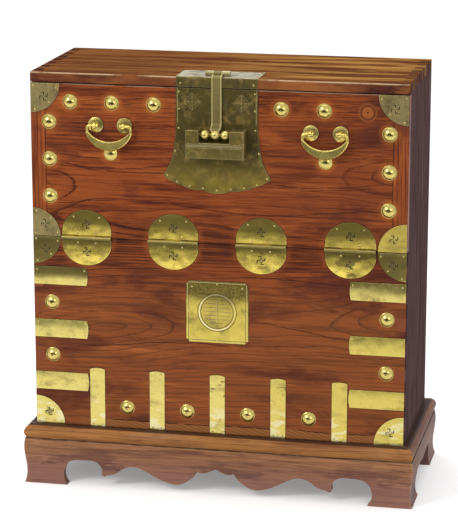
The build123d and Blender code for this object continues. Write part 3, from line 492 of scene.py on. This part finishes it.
def side_wood():
    """Side boards with upright grain, painted dark and mauve as painted shade. Their fingers show as
    darker end grain on top, and are red in front."""
    paint = Paint("side_wood")
    # painted shade: these tones are darker and more mauve than the same wood's red in front
    tones = (
        (0.290, 0.180, 0.172), (0.145, 0.086, 0.088), (0.060, 0.034, 0.038), (0.022, 0.013, 0.016),
    )
    field = paint.times(paint.y, 1 / (18 * mm))
    color, height, broad = wood_base(paint, "zyx", tones, field, bend=0.8, seed=2.0, dash=0.6)
    in_front = paint.step(paint.y, front_y + 0.0006, front_y + 0.0002)
    red = paint.mix(broad, (0.190, 0.054, 0.026), (0.32, 0.092, 0.032))
    color = paint.over(color, red, in_front, 0.92)
    on_top = paint.step(paint.z, top_z - 0.0006, top_z - 0.0002)
    ends = paint.mix(paint.step(paint.x, -0.3, 0.3), (0.075, 0.027, 0.018), (0.150, 0.062, 0.026))
    gap = paint.step(paint.absolute(paint.x), case_x - 21.5 * mm, case_x - 23.0 * mm)
    ends = paint.over(ends, (0.030, 0.013, 0.010), paint.step(broad, 0.62, 0.40), 0.7)
    ends = paint.over(ends, (0.020, 0.010, 0.008), gap, 0.8)
    color = paint.over(color, ends, on_top)
    rough = paint.plus(paint.times(broad, 0.2), 0.4)
    return paint.finish(color, rough, paint.bump(height), gloss=0.0)


def back_wood():
    """Plain softwood, never oiled."""
    paint = Paint("back_wood")
    tones = ((0.40, 0.26, 0.15), (0.30, 0.185, 0.10), (0.20, 0.115, 0.065), (0.10, 0.055, 0.03))
    field = paint.times(paint.z, 1 / (22 * mm))
    color, height, broad = wood_base(paint, "xzy", tones, field, bend=1.4, seed=6.0, lines=0.6)
    return paint.finish(color, paint.plus(paint.times(broad, 0.15), 0.62), paint.bump(height))


def stand_wood(name, axes, tones, seed):
    """The stand's boards, rubbed pale on their edges."""
    paint = Paint(name)
    field = paint.times(paint.z, 1 / (16 * mm))
    color, height, broad = wood_base(paint, axes, tones, field, 0.9, seed, dash=0.55, lines=0.50)
    dust = paint.cloud((5, 5, 14), 5.0, 0.65)
    color = paint.over(color, (0.42, 0.225, 0.115), paint.step(dust, 0.5, 0.75), 0.45)
    low = paint.step(paint.z, 0.105, 0.020)
    color = paint.over(color, (0.265, 0.132, 0.122), low, 0.62)
    bruise = paint.step(paint.cloud((6, 6, 22), 5.0, 0.66, shift=(seed, 0, 2)), 0.50, 0.62)
    bruised = paint.plus(0.30, paint.times(low, 0.45))
    color = paint.over(color, (0.085, 0.036, 0.036), bruise, bruised)
    # painted shade: dark lines in the crease atop the apron and where the case sits on the moulding
    groove_shade = paint.line_at(paint.z, groove_z, 0.0012)
    groove_shade = paint.plus(groove_shade, paint.line_at(paint.z, base_z, 0.0022))
    color = paint.over(color, (0.035, 0.018, 0.014), groove_shade, 0.85)
    worn = paint.times(paint.worn_edge(0.004), paint.step(paint.cloud((30, 30, 30)), 0.36, 0.6))
    color = paint.over(color, (0.56, 0.36, 0.21), worn, 0.55)
    rough = paint.plus(paint.times(broad, 0.2), 0.40)
    return paint.finish(color, rough, paint.bump(height))


stand_parts = (  # (part, seed, tones in front and behind, tones at the sides, darker as painted shade)
    (
        "moulding",
        1.0,
        ((0.62, 0.290, 0.086), (0.40, 0.170, 0.050), (0.200, 0.072, 0.030), (0.05, 0.02, 0.014)),
        ((0.42, 0.190, 0.090), (0.25, 0.105, 0.058), (0.130, 0.052, 0.036), (0.04, 0.018, 0.016)),
    ),
    (
        "apron",
        5.0,
        ((0.54, 0.265, 0.125), (0.35, 0.160, 0.072), (0.175, 0.070, 0.040), (0.06, 0.025, 0.020)),
        ((0.36, 0.180, 0.110), (0.22, 0.102, 0.068), (0.120, 0.050, 0.040), (0.05, 0.022, 0.020)),
    ),
)

# ---------------------------------------------------------------- brass

gold = (0.60, 0.505, 0.150)
pale_gold = (0.86, 0.67, 0.130)
olive = (0.24, 0.190, 0.060)
eyes_z = middle(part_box("lock_staples")).z
# The padlock's bead between two grooves, and its crescent.
bead_z = eyes_z - 22.5 * mm
bead_half, groove_half = 1.8 * mm, 4.2 * mm
moon_radius = 14 * mm
# The lozenge and the line engraved on each side of the lock plate.
lozenge = (54 * mm, eyes_z + 67 * mm)
lozenge_outer, lozenge_inner = 18.5 * mm, 11.5 * mm
lock_line_x = 86.2 * mm
medal_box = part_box("medallion_plate")
medal_half = (medal_box[1].x - medal_box[0].x) / 2


def brass(
    name, color, tarnish, amount, rough,
    dished=0, dents=1.0, pits=0, grime=0.3, shine=1.0, rub=0.6, marks=None,
):
    """Rubbed brass. amount is how much of it tarnish covers, dished bows each plate by that slope,
    dents is the unevenness of the sheet and pits that of a casting. shine is how much it mirrors,
    rub how pale its edges are worn. marks gives layers painted over the sheet: each has its colour,
    how dull it is, and the shares whose product says how much of it shows."""
    paint = Paint(name)
    cloud = paint.cloud((22, 22, 22), 5.0, 0.62, 0.3)
    speck = paint.cloud((140, 140, 140), 4.0, 0.6)
    blotch = paint.plus(cloud, paint.times(paint.minus(speck, 0.5), 0.20))
    stain = paint.step(blotch, 0.66 - amount, 0.92 - amount)
    tone = paint.over(color, tarnish, stain)
    warm = paint.cloud((60, 60, 60))
    tone = paint.over(tone, (0.72, 0.47, 0.14), paint.step(warm, 0.45, 0.75), 0.25)
    dirt = paint.step(speck, 0.62, 0.74)
    tone = paint.over(tone, (0.10, 0.07, 0.03), dirt, grime)
    frets = paint.near_any(fret_places(), 0.0052, 0.0088)
    layers = [((0.080, 0.058, 0.018), 0.6, frets, 0.55)] if dished else []
    dull = 0.0
    for mark_color, flat, *shares in layers + (marks(paint) if marks else []):
        mask = paint.times(*shares)
        tone = paint.over(tone, mark_color, mask)
        dull = paint.math("MAXIMUM", dull, paint.times(mask, flat))
    metallic = paint.times(paint.minus(1.0, dull), shine)
    if rub:
        tone = paint.over(tone, (0.86, 0.72, 0.40), paint.worn_edge(0.0012), rub)
    dent = paint.times(paint.cloud((26, 26, 26), 1.0, 0.4), 0.0016 * dents)
    scratch = paint.times(paint.cloud((90, 90, 900), 2.0, turn=(0, 0.5, 0)), 0.000012)
    pit = paint.times(paint.cloud((520, 520, 520)), 0.00022 * pits)
    height = paint.plus(dent, scratch, pit)
    if dished:
        local = paint.add("ShaderNodeTexCoord").outputs["Generated"]
        low = paint.add("ShaderNodeSeparateXYZ", {0: local}).outputs[2]
        off = paint.minus(low, 0.5)
        height = paint.minus(height, paint.times(off, off, dished))
    uneven = paint.plus(paint.times(stain, 0.16), paint.times(speck, 0.10))
    rough = paint.plus(uneven, rough, paint.times(dull, 0.25))
    return paint.finish(tone, rough, paint.bump(height), metallic=metallic, gloss=0.3)


def plate_marks(paint):
    """The lower edge plates and the straps nearest the hinge line are painted dark as a painted
    reflection, those on the right less. The straps near the floor are smeared pale, and spotted at
    their upper ends."""
    below = paint.minus(paint.z, hinge_z)
    # painted dark reflection below the hinge line
    dark_reflection = paint.between(below, -0.090, -0.002, 0.008)
    right = paint.step(paint.x, 0.0, 0.2)
    spared = paint.times(right, paint.step(below, -0.058, -0.064), 0.8)
    dark_reflection = paint.times(dark_reflection, paint.minus(1.0, spared))
    low_right = paint.times(right, paint.step(below, -0.10, -0.16))
    cloud = paint.cloud((22, 22, 75), 2.0, 0.5)
    near_floor = paint.step(paint.z, base_z + 0.075, base_z + 0.035)
    strap_tops = paint.between(paint.z, base_z + 0.085, base_z + 0.128, 0.004)
    strap_tops = paint.times(strap_tops, paint.between(paint.x, -0.20, 0.20, 0.01))
    smudge = paint.cloud((16, 16, 34), 5.0, 0.62, turn=(0, 0.4, 0))
    return [
        ((0.60, 0.460, 0.075), 0.6, paint.step(below, 0.0, 0.002), 0.80),
        ((0.56, 0.43, 0.055), 0.3, low_right, 0.45),
        ((0.24, 0.185, 0.042), 0.5, paint.step(smudge, 0.53, 0.66), 0.40),
        ((0.125, 0.092, 0.024), 0.3, dark_reflection, 0.85),
        ((0.88, 0.84, 0.56), 0.6, near_floor, paint.step(cloud, 0.52, 0.57), 0.45),
        ((0.12, 0.085, 0.022), 0.5, strap_tops, paint.step(cloud, 0.60, 0.63), 0.8),
    ]


def stud_marks(paint):
    """A stud's rim is painted darker and duller than its dome."""
    rim = paint.minus(1.0, paint.near_any(stud_places, 0.0140, 0.0148))
    return [((0.34, 0.265, 0.080), 0.6, rim, 0.60)]


def bail_marks(paint):
    """The cast leaf that wraps a handle's middle, as dark ribs."""
    layers = []
    for side in (-1, 1):
        from_middle = paint.minus(paint.x, side * bail_x)
        span = paint.between(from_middle, -0.011, 0.011, 0.003)
        lean = paint.plus(paint.absolute(from_middle), paint.times(paint.z, 0.6))
        wave = paint.math("SINE", paint.times(lean, 1300.0))
        layers.append(((0.16, 0.115, 0.030), 0.8, span, paint.step(wave, 0.1, 0.8), 0.50))
    return layers


def leaf_marks(paint):
    """Leaves painted dark at the top and on their barrel as painted reflections, and under the barrel
    as a painted shadow, with a bright band between and a painted highlight along the barrel.
    """
    above = paint.minus(paint.z, hinge_z)
    uneven = paint.times(paint.minus(paint.cloud((14, 14, 30)), 0.5), 0.026)
    level = paint.plus(above, uneven)
    # painted dark reflection on the upper leaves, and painted shadow under the barrel
    top = paint.step(level, 0.016, 0.036)
    under = paint.times(paint.step(level, -0.024, -0.012), paint.step(above, 0.0, -0.002))
    # the barrel painted dark as a painted reflection, with a painted highlight line along it
    barrel = paint.step(paint.y, front_y - 0.0022, front_y - 0.0032)
    glint = paint.line_at(above, 0.0022, 0.0010)
    smear = paint.cloud((24, 24, 46), 4.0, 0.6, turn=(0, 0.5, 0))
    smear = paint.times(paint.step(smear, 0.49, 0.60), paint.step(above, -0.004, -0.010))
    smear = paint.times(smear, paint.plus(0.45, paint.times(paint.step(paint.x, -0.05, 0.25), 0.4)))
    return [
        ((0.150, 0.108, 0.024), 0.4, smear),
        ((0.120, 0.088, 0.020), 0.35, top, 0.85),
        ((0.105, 0.078, 0.020), 0.35, under, 0.80),
        ((0.110, 0.085, 0.028), 0.5, barrel, 0.80),
        ((0.42, 0.34, 0.12), 0.7, barrel, glint, 0.6),
    ]


def medal_marks(paint):
    """The square plate: top painted dark as a painted reflection and speckled, hatched ground, dirty
    fret with painted shade in its recesses, shaded ring with a painted highlight on its crest,
    border.
    """
    centre = middle(medal_box)
    half = medal_half
    across = paint.absolute(paint.minus(paint.x, centre.x))
    up = paint.absolute(paint.minus(paint.z, centre.z))
    rim = paint.math("MAXIMUM", across, up)
    from_middle = paint.distance(centre.x, centre.z)
    level = paint.plus(paint.z, paint.times(paint.minus(paint.cloud((16, 16, 16)), 0.5), 0.02))
    # painted dark reflection over the plate's upper part
    top = paint.step(level, centre.z + half * 0.22, centre.z + half * 0.62)
    speckle = paint.times(top, paint.step(paint.cloud((230, 230, 230), 2.0), 0.46, 0.58))
    inner, crest_at, outer = 36.4 * mm, 39.5 * mm, 43.0 * mm  # of the raised ring
    hatch_step = 6.2 * mm
    layers = [
        ((0.130, 0.092, 0.020), 0.4, top, 0.85),
        ((0.045, 0.032, 0.010), 0.5, speckle, 0.6),
    ]
    outside = paint.step(from_middle, outer - 0.5 * mm, outer + 0.5 * mm)
    for lean in (-1, 1):
        slant = paint.plus(paint.x, paint.times(paint.z, lean))
        hatch = paint.line_at(paint.math("FRACT", paint.times(slant, 1 / hatch_step)), 0.5, 0.13)
        layers.append(((0.20, 0.150, 0.030), 0.3, hatch, outside, 0.35))
    inside = paint.step(from_middle, inner - 0.2 * mm, inner - 1.2 * mm)
    layers.append(((0.26, 0.195, 0.040), 0.3, inside, 0.35))
    # painted shade in the recesses of the fret inside the ring
    layers.append(((0.080, 0.056, 0.014), 0.6, inside, paint.hemmed(0.0016), 0.8))
    shade = paint.line_at(from_middle, inner, 0.0009)
    shade = paint.plus(shade, paint.line_at(from_middle, outer, 0.0009))
    layers.append(((0.075, 0.052, 0.016), 0.6, shade, 0.85))
    # painted highlight along the ring's crest, strongest at its lower left
    slope = paint.plus(paint.minus(paint.x, centre.x), paint.minus(paint.z, centre.z))
    lit = paint.plus(0.25, paint.times(paint.step(slope, 0.02, -0.03), 0.75))
    crest = paint.line_at(from_middle, crest_at, 0.0016)
    layers.append(((0.95, 0.86, 0.46), 0.7, crest, lit, 0.9))
    layers.append(((0.78, 0.64, 0.26), 0.6, paint.line_at(rim, half - 0.0035, 0.0008), 0.6))
    layers.append(((0.10, 0.072, 0.020), 0.6, paint.line_at(rim, half - 0.0052, 0.0007), 0.8))
    return layers


def lock_marks(paint):
    """The lock plate: gold along its lobes as a painted bright reflection, scratched and dark above,
    with a line and a lozenge on each side."""
    cloud = paint.cloud((18, 18, 24), 4.0, 0.6)
    above = paint.minus(paint.z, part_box("lock_plate")[0].z)
    # painted bright reflection on the lower lobes
    lobe_reflection = paint.times(paint.step(above, 0.070, 0.010), paint.step(cloud, 0.34, 0.70))
    lobes = paint.times(paint.step(above, 0.115, 0.030), 0.35)
    scratch = paint.cloud((70, 70, 9), 4.0, 0.6, turn=(0, 0.2, 0))
    layers = [
        ((0.22, 0.155, 0.022), 0.5, lobes),
        ((0.40, 0.290, 0.034), 0.6, lobe_reflection, 0.65),
        ((0.30, 0.24, 0.085), 0.6, paint.step(scratch, 0.60, 0.70), 0.35),
        ((0.060, 0.044, 0.014), 0.5, paint.step(cloud, 0.54, 0.66), 0.5),
    ]
    side = paint.absolute(paint.x)
    upper = paint.step(above, 0.150, 0.156)
    border = paint.line_at(side, lock_line_x, 0.0008)
    layers.append(((0.42, 0.36, 0.14), 0.8, border, upper, 0.55))
    x, z = lozenge
    up = paint.absolute(paint.minus(paint.z, z))
    around = paint.plus(paint.absolute(paint.minus(side, x)), up)
    lines = paint.line_at(around, lozenge_outer, 0.0008)
    lines = paint.plus(lines, paint.line_at(around, lozenge_inner, 0.0008))
    cross = paint.plus(paint.line_at(side, x, 0.0007), paint.line_at(paint.z, z, 0.0007))
    within = paint.step(around, lozenge_outer, lozenge_outer - mm)
    lines = paint.plus(lines, paint.times(cross, within))
    layers.append(((0.30, 0.235, 0.085), 0.9, lines, 0.60))
    return layers


def hasp_marks(paint):
    """The strap is painted darker, its borders and its upper end less so. Its eye stays bright."""
    side = paint.absolute(paint.x)
    strap = paint.step(paint.z, eyes_z + 7 * mm, eyes_z + 11 * mm)
    border = paint.times(paint.step(side, 0.0076, 0.0086), strap)
    high = paint.step(paint.z, top_z - 0.060, top_z - 0.010)
    return [
        (paint.mix(high, (0.090, 0.070, 0.018), (0.125, 0.100, 0.030)), 0.85, strap, 0.85),
        ((0.46, 0.39, 0.14), 0.9, border, 0.75),
        ((0.10, 0.08, 0.03), 0.8, paint.line_at(side, 0.0072, 0.0006), strap, 0.6),
    ]


def hasp_plate_marks(paint):
    """The bent plate under the hasp: its upper face is painted pale, a painted reflection of the sky.
    """
    on_top = paint.step(paint.z, top_z + 0.0004, top_z + 0.0011)
    cloud = paint.cloud((30, 60, 30), 4.0, 0.62)
    # painted pale reflection on the upper face
    pale = paint.times(on_top, paint.step(cloud, 0.36, 0.56))
    return [((0.44, 0.41, 0.30), 0.8, pale, 0.85)]


def padlock_marks(paint):
    """Bright arrises, a bead with a painted highlight between grooves of painted shade across the
    front, and a crescent at its foot.
    """
    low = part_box("padlock_body")[0]
    edge = paint.worn_edge(0.0022)
    bead = paint.between(paint.z, bead_z - bead_half, bead_z + bead_half, 0.0003)
    groove_shade = paint.between(paint.z, bead_z - groove_half, bead_z + groove_half, 0.0003)
    front = paint.step(paint.y, low.y + 0.0020, low.y + 0.0010)
    groove_shade = paint.times(groove_shade, front, paint.minus(1.0, bead))
    bead = paint.times(bead, front)
    lower = paint.step(paint.z, bead_z, low.z)
    corner = paint.distance(low.x + 0.016, low.z + 0.002)
    moon = paint.times(paint.line_at(corner, moon_radius, 0.0012), front)
    return [
        ((0.16, 0.120, 0.030), 0.6, lower, 0.4),
        # painted shade in the grooves and a painted highlight on the bead between them
        ((0.050, 0.038, 0.014), 0.8, groove_shade, 0.80),
        ((0.27, 0.215, 0.080), 0.8, bead, 0.65),
        ((0.32, 0.25, 0.09), 0.8, moon, 0.45),
        ((0.46, 0.39, 0.18), 0.8, edge, 0.80),
    ]


# ---------------------------------------------------------------- give every CAD node its finish


def dress(finish, *names):
    for name in names:
        for slot in nodes[name].material_slots:
            slot.material = finish


plate = brass("plate_brass", gold, olive, 0.10, 0.20, dished=0.0030, marks=plate_marks)
leaf = brass(
    "leaf_brass", pale_gold, olive, 0.14, 0.20,
    dished=0.0026, dents=1.3, grime=0.15, marks=leaf_marks,
)
for name in nodes:
    dress(leaf if name.startswith("hinge_") else plate, name)

dress(front_wood(), "door_panel", "lower_front_board")
dress(cleat_wood(), "door_cleat_left", "door_cleat_right")
dress(top_wood(), "top_board")
dress(side_wood(), "side_board_left", "side_board_right")
dress(back_wood(), "back_board", "bottom_board")
for part, seed, tones, shaded_side_tones in stand_parts:
    lengthwise = stand_wood(f"{part}_wood", "xzy", tones, seed)
    dress(lengthwise, f"stand_{part}_front", f"stand_{part}_back")
    # the stand's sides take the darker tones: painted shade
    crosswise = stand_wood(f"{part}_wood_side", "yzx", shaded_side_tones, seed + 2.0)
    dress(crosswise, f"stand_{part}_left", f"stand_{part}_right")

# painted reflection: the top corner plates and the upper left edge plate are a greyer, duller brass
pale_reflection_plate = brass(
    "pale_reflection_brass", (0.32, 0.250, 0.100), (0.14, 0.106, 0.042), 0.24, 0.34, grime=0.7, shine=0.45
)
dress(pale_reflection_plate, "corner_plate_top_left", "corner_plate_top_right", "edge_plate_upper_left")
medal = brass("medal_brass", (0.74, 0.59, 0.115), olive, 0.14, 0.22, marks=medal_marks)
dress(medal, "medallion_plate")
dark_plate = brass(
    "dark_brass", (0.122, 0.093, 0.022), (0.070, 0.053, 0.015), 0.30, 0.30,
    shine=0.55, marks=lock_marks,
)
dress(dark_plate, "lock_plate")
bent_plate = brass(
    "bent_brass", (0.175, 0.135, 0.034), (0.070, 0.054, 0.018), 0.34, 0.30,
    grime=0.6, shine=0.55, marks=hasp_plate_marks,
)
dress(bent_plate, "hasp_plate")
lock = brass(
    "lock_brass", (0.195, 0.150, 0.040), (0.095, 0.072, 0.020), 0.24, 0.28,
    shine=0.6, marks=padlock_marks,
)
dress(lock, "padlock_body", "padlock_shackle")
strap = brass(
    "strap_brass", (0.66, 0.53, 0.17), (0.30, 0.24, 0.07), 0.16, 0.26, shine=0.8, marks=hasp_marks
)
dress(strap, "hasp")
bracket = brass(
    "bracket_brass", (0.36, 0.31, 0.16), (0.14, 0.11, 0.05), 0.24, 0.34, grime=0.6, shine=0.7
)
dress(bracket, "hasp_bracket")
knob = brass(
    "knob_brass", (0.66, 0.53, 0.17), (0.24, 0.185, 0.05), 0.16, 0.26, dents=0.3, shine=0.8
)
dress(knob, "lock_staples")
cast = brass(
    "cast_brass", (0.84, 0.69, 0.19), (0.26, 0.20, 0.07), 0.14, 0.24,
    dents=1.2, pits=1.0, marks=bail_marks,
)
dress(cast, "handle_posts", "bail_left", "bail_right")
rosette = brass(
    "rosette_brass", (0.66, 0.53, 0.16), (0.13, 0.10, 0.035), 0.20, 0.24,
    dents=0.9, pits=1.0, grime=0.6,
)
dress(rosette, "handle_rosettes")
stud = brass(
    "stud_brass", (0.56, 0.46, 0.14), olive, 0.08, 0.16,
    dents=0.2, grime=0.25, rub=0.0, marks=stud_marks,
)
dress(stud, "door_studs", "front_studs")
pin = brass("pin_brass", (0.50, 0.40, 0.15), olive, 0.12, 0.3)
dress(pin, "hinge_pins", "hasp_pin", "padlock_spring")

# ---------------------------------------------------------------- tacks

tack_brass = brass("tack_brass", (0.56, 0.46, 0.16), olive, 0.10, 0.24, dents=0.0, grime=0.2)
tack_radius = 2.1 * mm
tack_height = 0.7 * mm
tack_sides = 14
tack_levels = ((1.0, -0.2), (0.97, 0.3), (0.80, 0.68), (0.5, 0.92))  # shares of radius, height
sheet = 1.5 * mm
hinge_sheet = 1.8 * mm


def add_tack(mesh, x, y, z, outward=(0, -1, 0)):
    """A low round head standing on a plate's face at x, y, z."""
    turn = Vector(outward).to_track_quat("Z", "Y").to_matrix()
    loops = []
    for share, lift in tack_levels:
        loop = []
        for k in range(tack_sides):
            angle = 2 * math.pi * k / tack_sides
            flat = Vector((math.cos(angle), math.sin(angle), 0)) * tack_radius * share
            flat.z = lift * tack_height
            loop.append(mesh.verts.new(turn @ flat + Vector((x, y, z))))
        loops.append(loop)
    for lower, upper in zip(loops, loops[1:]):
        for k in range(tack_sides):
            mesh.faces.new((lower[k], lower[k - 1], upper[k - 1], upper[k]))
    crown = mesh.verts.new(turn @ Vector((0, 0, tack_height)) + Vector((x, y, z)))
    for k in range(tack_sides):
        mesh.faces.new((loops[-1][k], loops[-1][k - 1], crown))
    mesh.faces.new(loops[0])


def make_tacks(name, places, body):
    """All the tacks of one body, as a piece that rides on it."""
    mesh = bmesh.new()
    for place in places:
        add_tack(mesh, *place)
    bmesh.ops.recalc_face_normals(mesh, faces=mesh.faces)
    data = bpy.data.meshes.new(name)
    mesh.to_mesh(data)
    mesh.free()
    piece = bpy.data.objects.new(name, data)
    bpy.context.scene.collection.objects.link(piece)
    data.materials.append(tack_brass)
    for face in data.polygons:
        face.use_smooth = True
    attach(piece, body)


def quarter_tacks(node):
    """Three tacks near a quarter plate's corners and three on its round edge."""
    low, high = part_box(node)
    inset = 6 * mm
    size = high.x - low.x
    corner_x, inward = (low.x, 1) if high.x < 0 else (high.x, -1)
    above = node.startswith(("edge_plate_upper", "corner_plate_bottom"))
    corner_z, upward = (low.z, 1) if above else (high.z, -1)
    spots = [(inset, inset)]
    for degrees in (9, 45, 81):
        angle = math.radians(degrees)
        spots.append(((size - inset) * math.cos(angle), (size - inset) * math.sin(angle)))
    return [(corner_x + inward * a, low.y, corner_z + upward * b) for a, b in spots]


def strap_tacks(box):
    """A tack in each corner of a strap."""
    low, high = box
    inset = 7 * mm
    spots = []
    for x in (low.x + inset, high.x - inset):
        for z in (low.z + inset, high.z - inset):
            spots.append((x, low.y, z))
    return spots


def leaf_tacks(number, upward):
    """Tacks round the edge of a hinge leaf and beside its barrel."""
    x = middle(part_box(f"hinge_{number}_upper_leaf")).x
    round_edge = 55 * mm
    beside, off_barrel = 20 * mm, 11 * mm
    spots = []
    for degrees in (58, 122):
        angle = math.radians(degrees)
        spots.append((round_edge * math.cos(angle), round_edge * math.sin(angle)))
    spots += [(-beside, off_barrel), (beside, off_barrel)]
    return [(x + a, front_y - hinge_sheet, hinge_z + upward * b) for a, b in spots]


case_tacks = []
door_tacks = []
for side_name in ("left", "right"):
    case_tacks += quarter_tacks(f"edge_plate_lower_{side_name}")
    case_tacks += quarter_tacks(f"corner_plate_bottom_{side_name}")
    door_tacks += quarter_tacks(f"edge_plate_upper_{side_name}")
    door_tacks += quarter_tacks(f"corner_plate_top_{side_name}")
    for level in ("low", "middle", "high"):
        case_tacks += strap_tacks(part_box(f"side_strap_{level}_{side_name}"))
for box in islands("bottom_straps"):
    case_tacks += strap_tacks(box)
for number in range(1, 5):
    case_tacks += leaf_tacks(number, -1)
    door_tacks += leaf_tacks(number, 1)

medal_middle = middle(medal_box)
corner_inset, edge_inset = 13 * mm, 6 * mm
for across in (-1, 0, 1):
    for up in (-1, 0, 1):
        if (across, up) != (0, 0):
            reach = medal_half - (corner_inset if across and up else edge_inset)
            spot = (medal_middle.x + across * reach, front_y - sheet, medal_middle.z + up * reach)
            case_tacks.append(spot)

# Down each side of the lock plate and along its lobes, in mm from the middle and the floor.
lock_edge = (
    (83, 899), (83, 862), (84, 820), (92, 770), (110, 716), (88, 702), (60, 694), (31, 690),
)
for x, z in lock_edge:
    for turn in (-1, 1):
        door_tacks.append((turn * x * mm, front_y - sheet, z * mm))
door_tacks.append((0, front_y - sheet, 686 * mm))

# On the bent plate under the hasp: one a side in front, two a side on its upper face.
plate_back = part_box("hasp_plate")[1].y
plate_tack_x = 80 * mm
for x in (-plate_tack_x, plate_tack_x):
    case_tacks.append((x, front_y - sheet, top_z - 13 * mm))
    for y in (front_y + 12 * mm, plate_back - 9 * mm):
        case_tacks.append((x, y, top_z + sheet, (0, 0, 1)))

make_tacks("plate_tacks_case", case_tacks, "case")
make_tacks("plate_tacks_door", door_tacks, "door")

# ---------------------------------------------------------------- floor, lamps, camera


def make_card(name, size):
    """A flat rectangle round the origin."""
    x, y = size[0] / 2, size[1] / 2
    corners = [(-x, -y, 0), (x, -y, 0), (x, y, 0), (-x, y, 0)]
    data = bpy.data.meshes.new(name)
    data.from_pydata(corners, [], [(0, 1, 2, 3)])
    card = bpy.data.objects.new(name, data)
    bpy.context.scene.collection.objects.link(card)
    return card


def make_floor():
    """White paper that glows where it is seen or mirrored, less in the corners round the feet as a
    painted shadow.
    """
    floor = make_card("floor", (28.0, 28.0))
    paint = Paint("floor_paper")
    path = paint.add("ShaderNodeLightPath").outputs
    shown = paint.math("MAXIMUM", path["Is Camera Ray"], path["Is Glossy Ray"])
    # painted contact shadow: the glow fades where ambient occlusion finds the stand near
    open_sky = paint.add("ShaderNodeAmbientOcclusion", {"Distance": 0.35}).outputs["AO"]
    level = paint.add("ShaderNodeMapRange", {"Value": open_sky, "To Min": 0.22, "To Max": 0.56})
    surface = paint.shader.inputs
    surface["Base Color"].default_value = (0.80, 0.80, 0.80, 1)
    surface["Roughness"].default_value = 0.9
    surface["Specular IOR Level"].default_value = 0.0
    surface["Emission Color"].default_value = (1, 1, 1, 1)
    paint.feed(paint.times(shown, level.outputs["Result"]), surface["Emission Strength"])
    floor.data.materials.append(paint.material)


def make_flag(name, size, place, turn):
    """A black studio card that only reflections see: it darkens what polished brass mirrors."""
    card = make_card(name, size)
    card.location = place
    card.rotation_euler = Euler(math.radians(a) for a in turn)
    paint = Paint(name)
    paint.shader.inputs["Base Color"].default_value = (0.03, 0.03, 0.03, 1)
    paint.shader.inputs["Roughness"].default_value = 1.0
    card.data.materials.append(paint.material)
    card.visible_camera = False
    card.visible_diffuse = False
    card.visible_shadow = False


def make_lamp(name, place, aim, size, power):
    lamp = bpy.data.lights.new(name, "AREA")
    lamp.shape = "RECTANGLE"
    lamp.size, lamp.size_y = size
    lamp.energy = power
    obj = bpy.data.objects.new(name, lamp)
    obj.location = place
    obj.rotation_mode = "QUATERNION"
    obj.rotation_quaternion = (Vector(aim) - Vector(place)).to_track_quat("-Z", "Y")
    bpy.context.scene.collection.objects.link(obj)


def make_world():
    """White where it is seen or mirrored, dimmer as a source of light."""
    world = bpy.data.worlds.new("studio")
    bpy.context.scene.world = world
    world.use_nodes = True
    tree = world.node_tree
    background = tree.nodes["Background"]
    background.inputs["Color"].default_value = (1, 1, 1, 1)
    path = tree.nodes.new("ShaderNodeLightPath")
    shown = path.outputs["Is Camera Ray"]
    for ray in ("Is Glossy Ray", "Is Transmission Ray"):
        either = tree.nodes.new("ShaderNodeMath")
        either.operation = "MAXIMUM"
        tree.links.new(shown, either.inputs[0])
        tree.links.new(path.outputs[ray], either.inputs[1])
        shown = either.outputs[0]
    strength = tree.nodes.new("ShaderNodeMapRange")
    tree.links.new(shown, strength.inputs["Value"])
    strength.inputs["To Min"].default_value = 0.55
    strength.inputs["To Max"].default_value = 1.0
    tree.links.new(strength.outputs["Result"], background.inputs["Strength"])


make_floor()
make_world()
make_flag("flag_floor", (9.0, 6.0), (0.0, -4.9, 0.002), (0, 0, 0))
make_flag("flag_front", (12.0, 3.2), (0.0, -8.0, 1.6), (90, 0, 0))
make_lamp("key", (-2.6, -3.4, 3.2), (0, 0, 0.5), (1.4, 1.4), 95)
make_lamp("fill", (2.8, -4.0, 2.0), (0, 0, 0.5), (2.0, 2.0), 30)
make_lamp("top", (0.0, 0.6, 3.4), (0, 0, 0.5), (2.4, 2.0), 45)

# The camera that was fitted to the photograph, by the case's corners, hinge line and stand.
camera = bpy.data.cameras.new("camera")
camera.lens = 158.53
camera.sensor_width = 36.0
eye = bpy.data.objects.new("camera", camera)
eye.location = (1.0554, -5.0034, 1.7423)
eye.rotation_euler = Euler((math.radians(76.094), 0.0, math.radians(12.026)))
bpy.context.scene.collection.objects.link(eye)
bpy.context.scene.camera = eye
bpy.context.scene.view_settings.view_transform = "Standard"
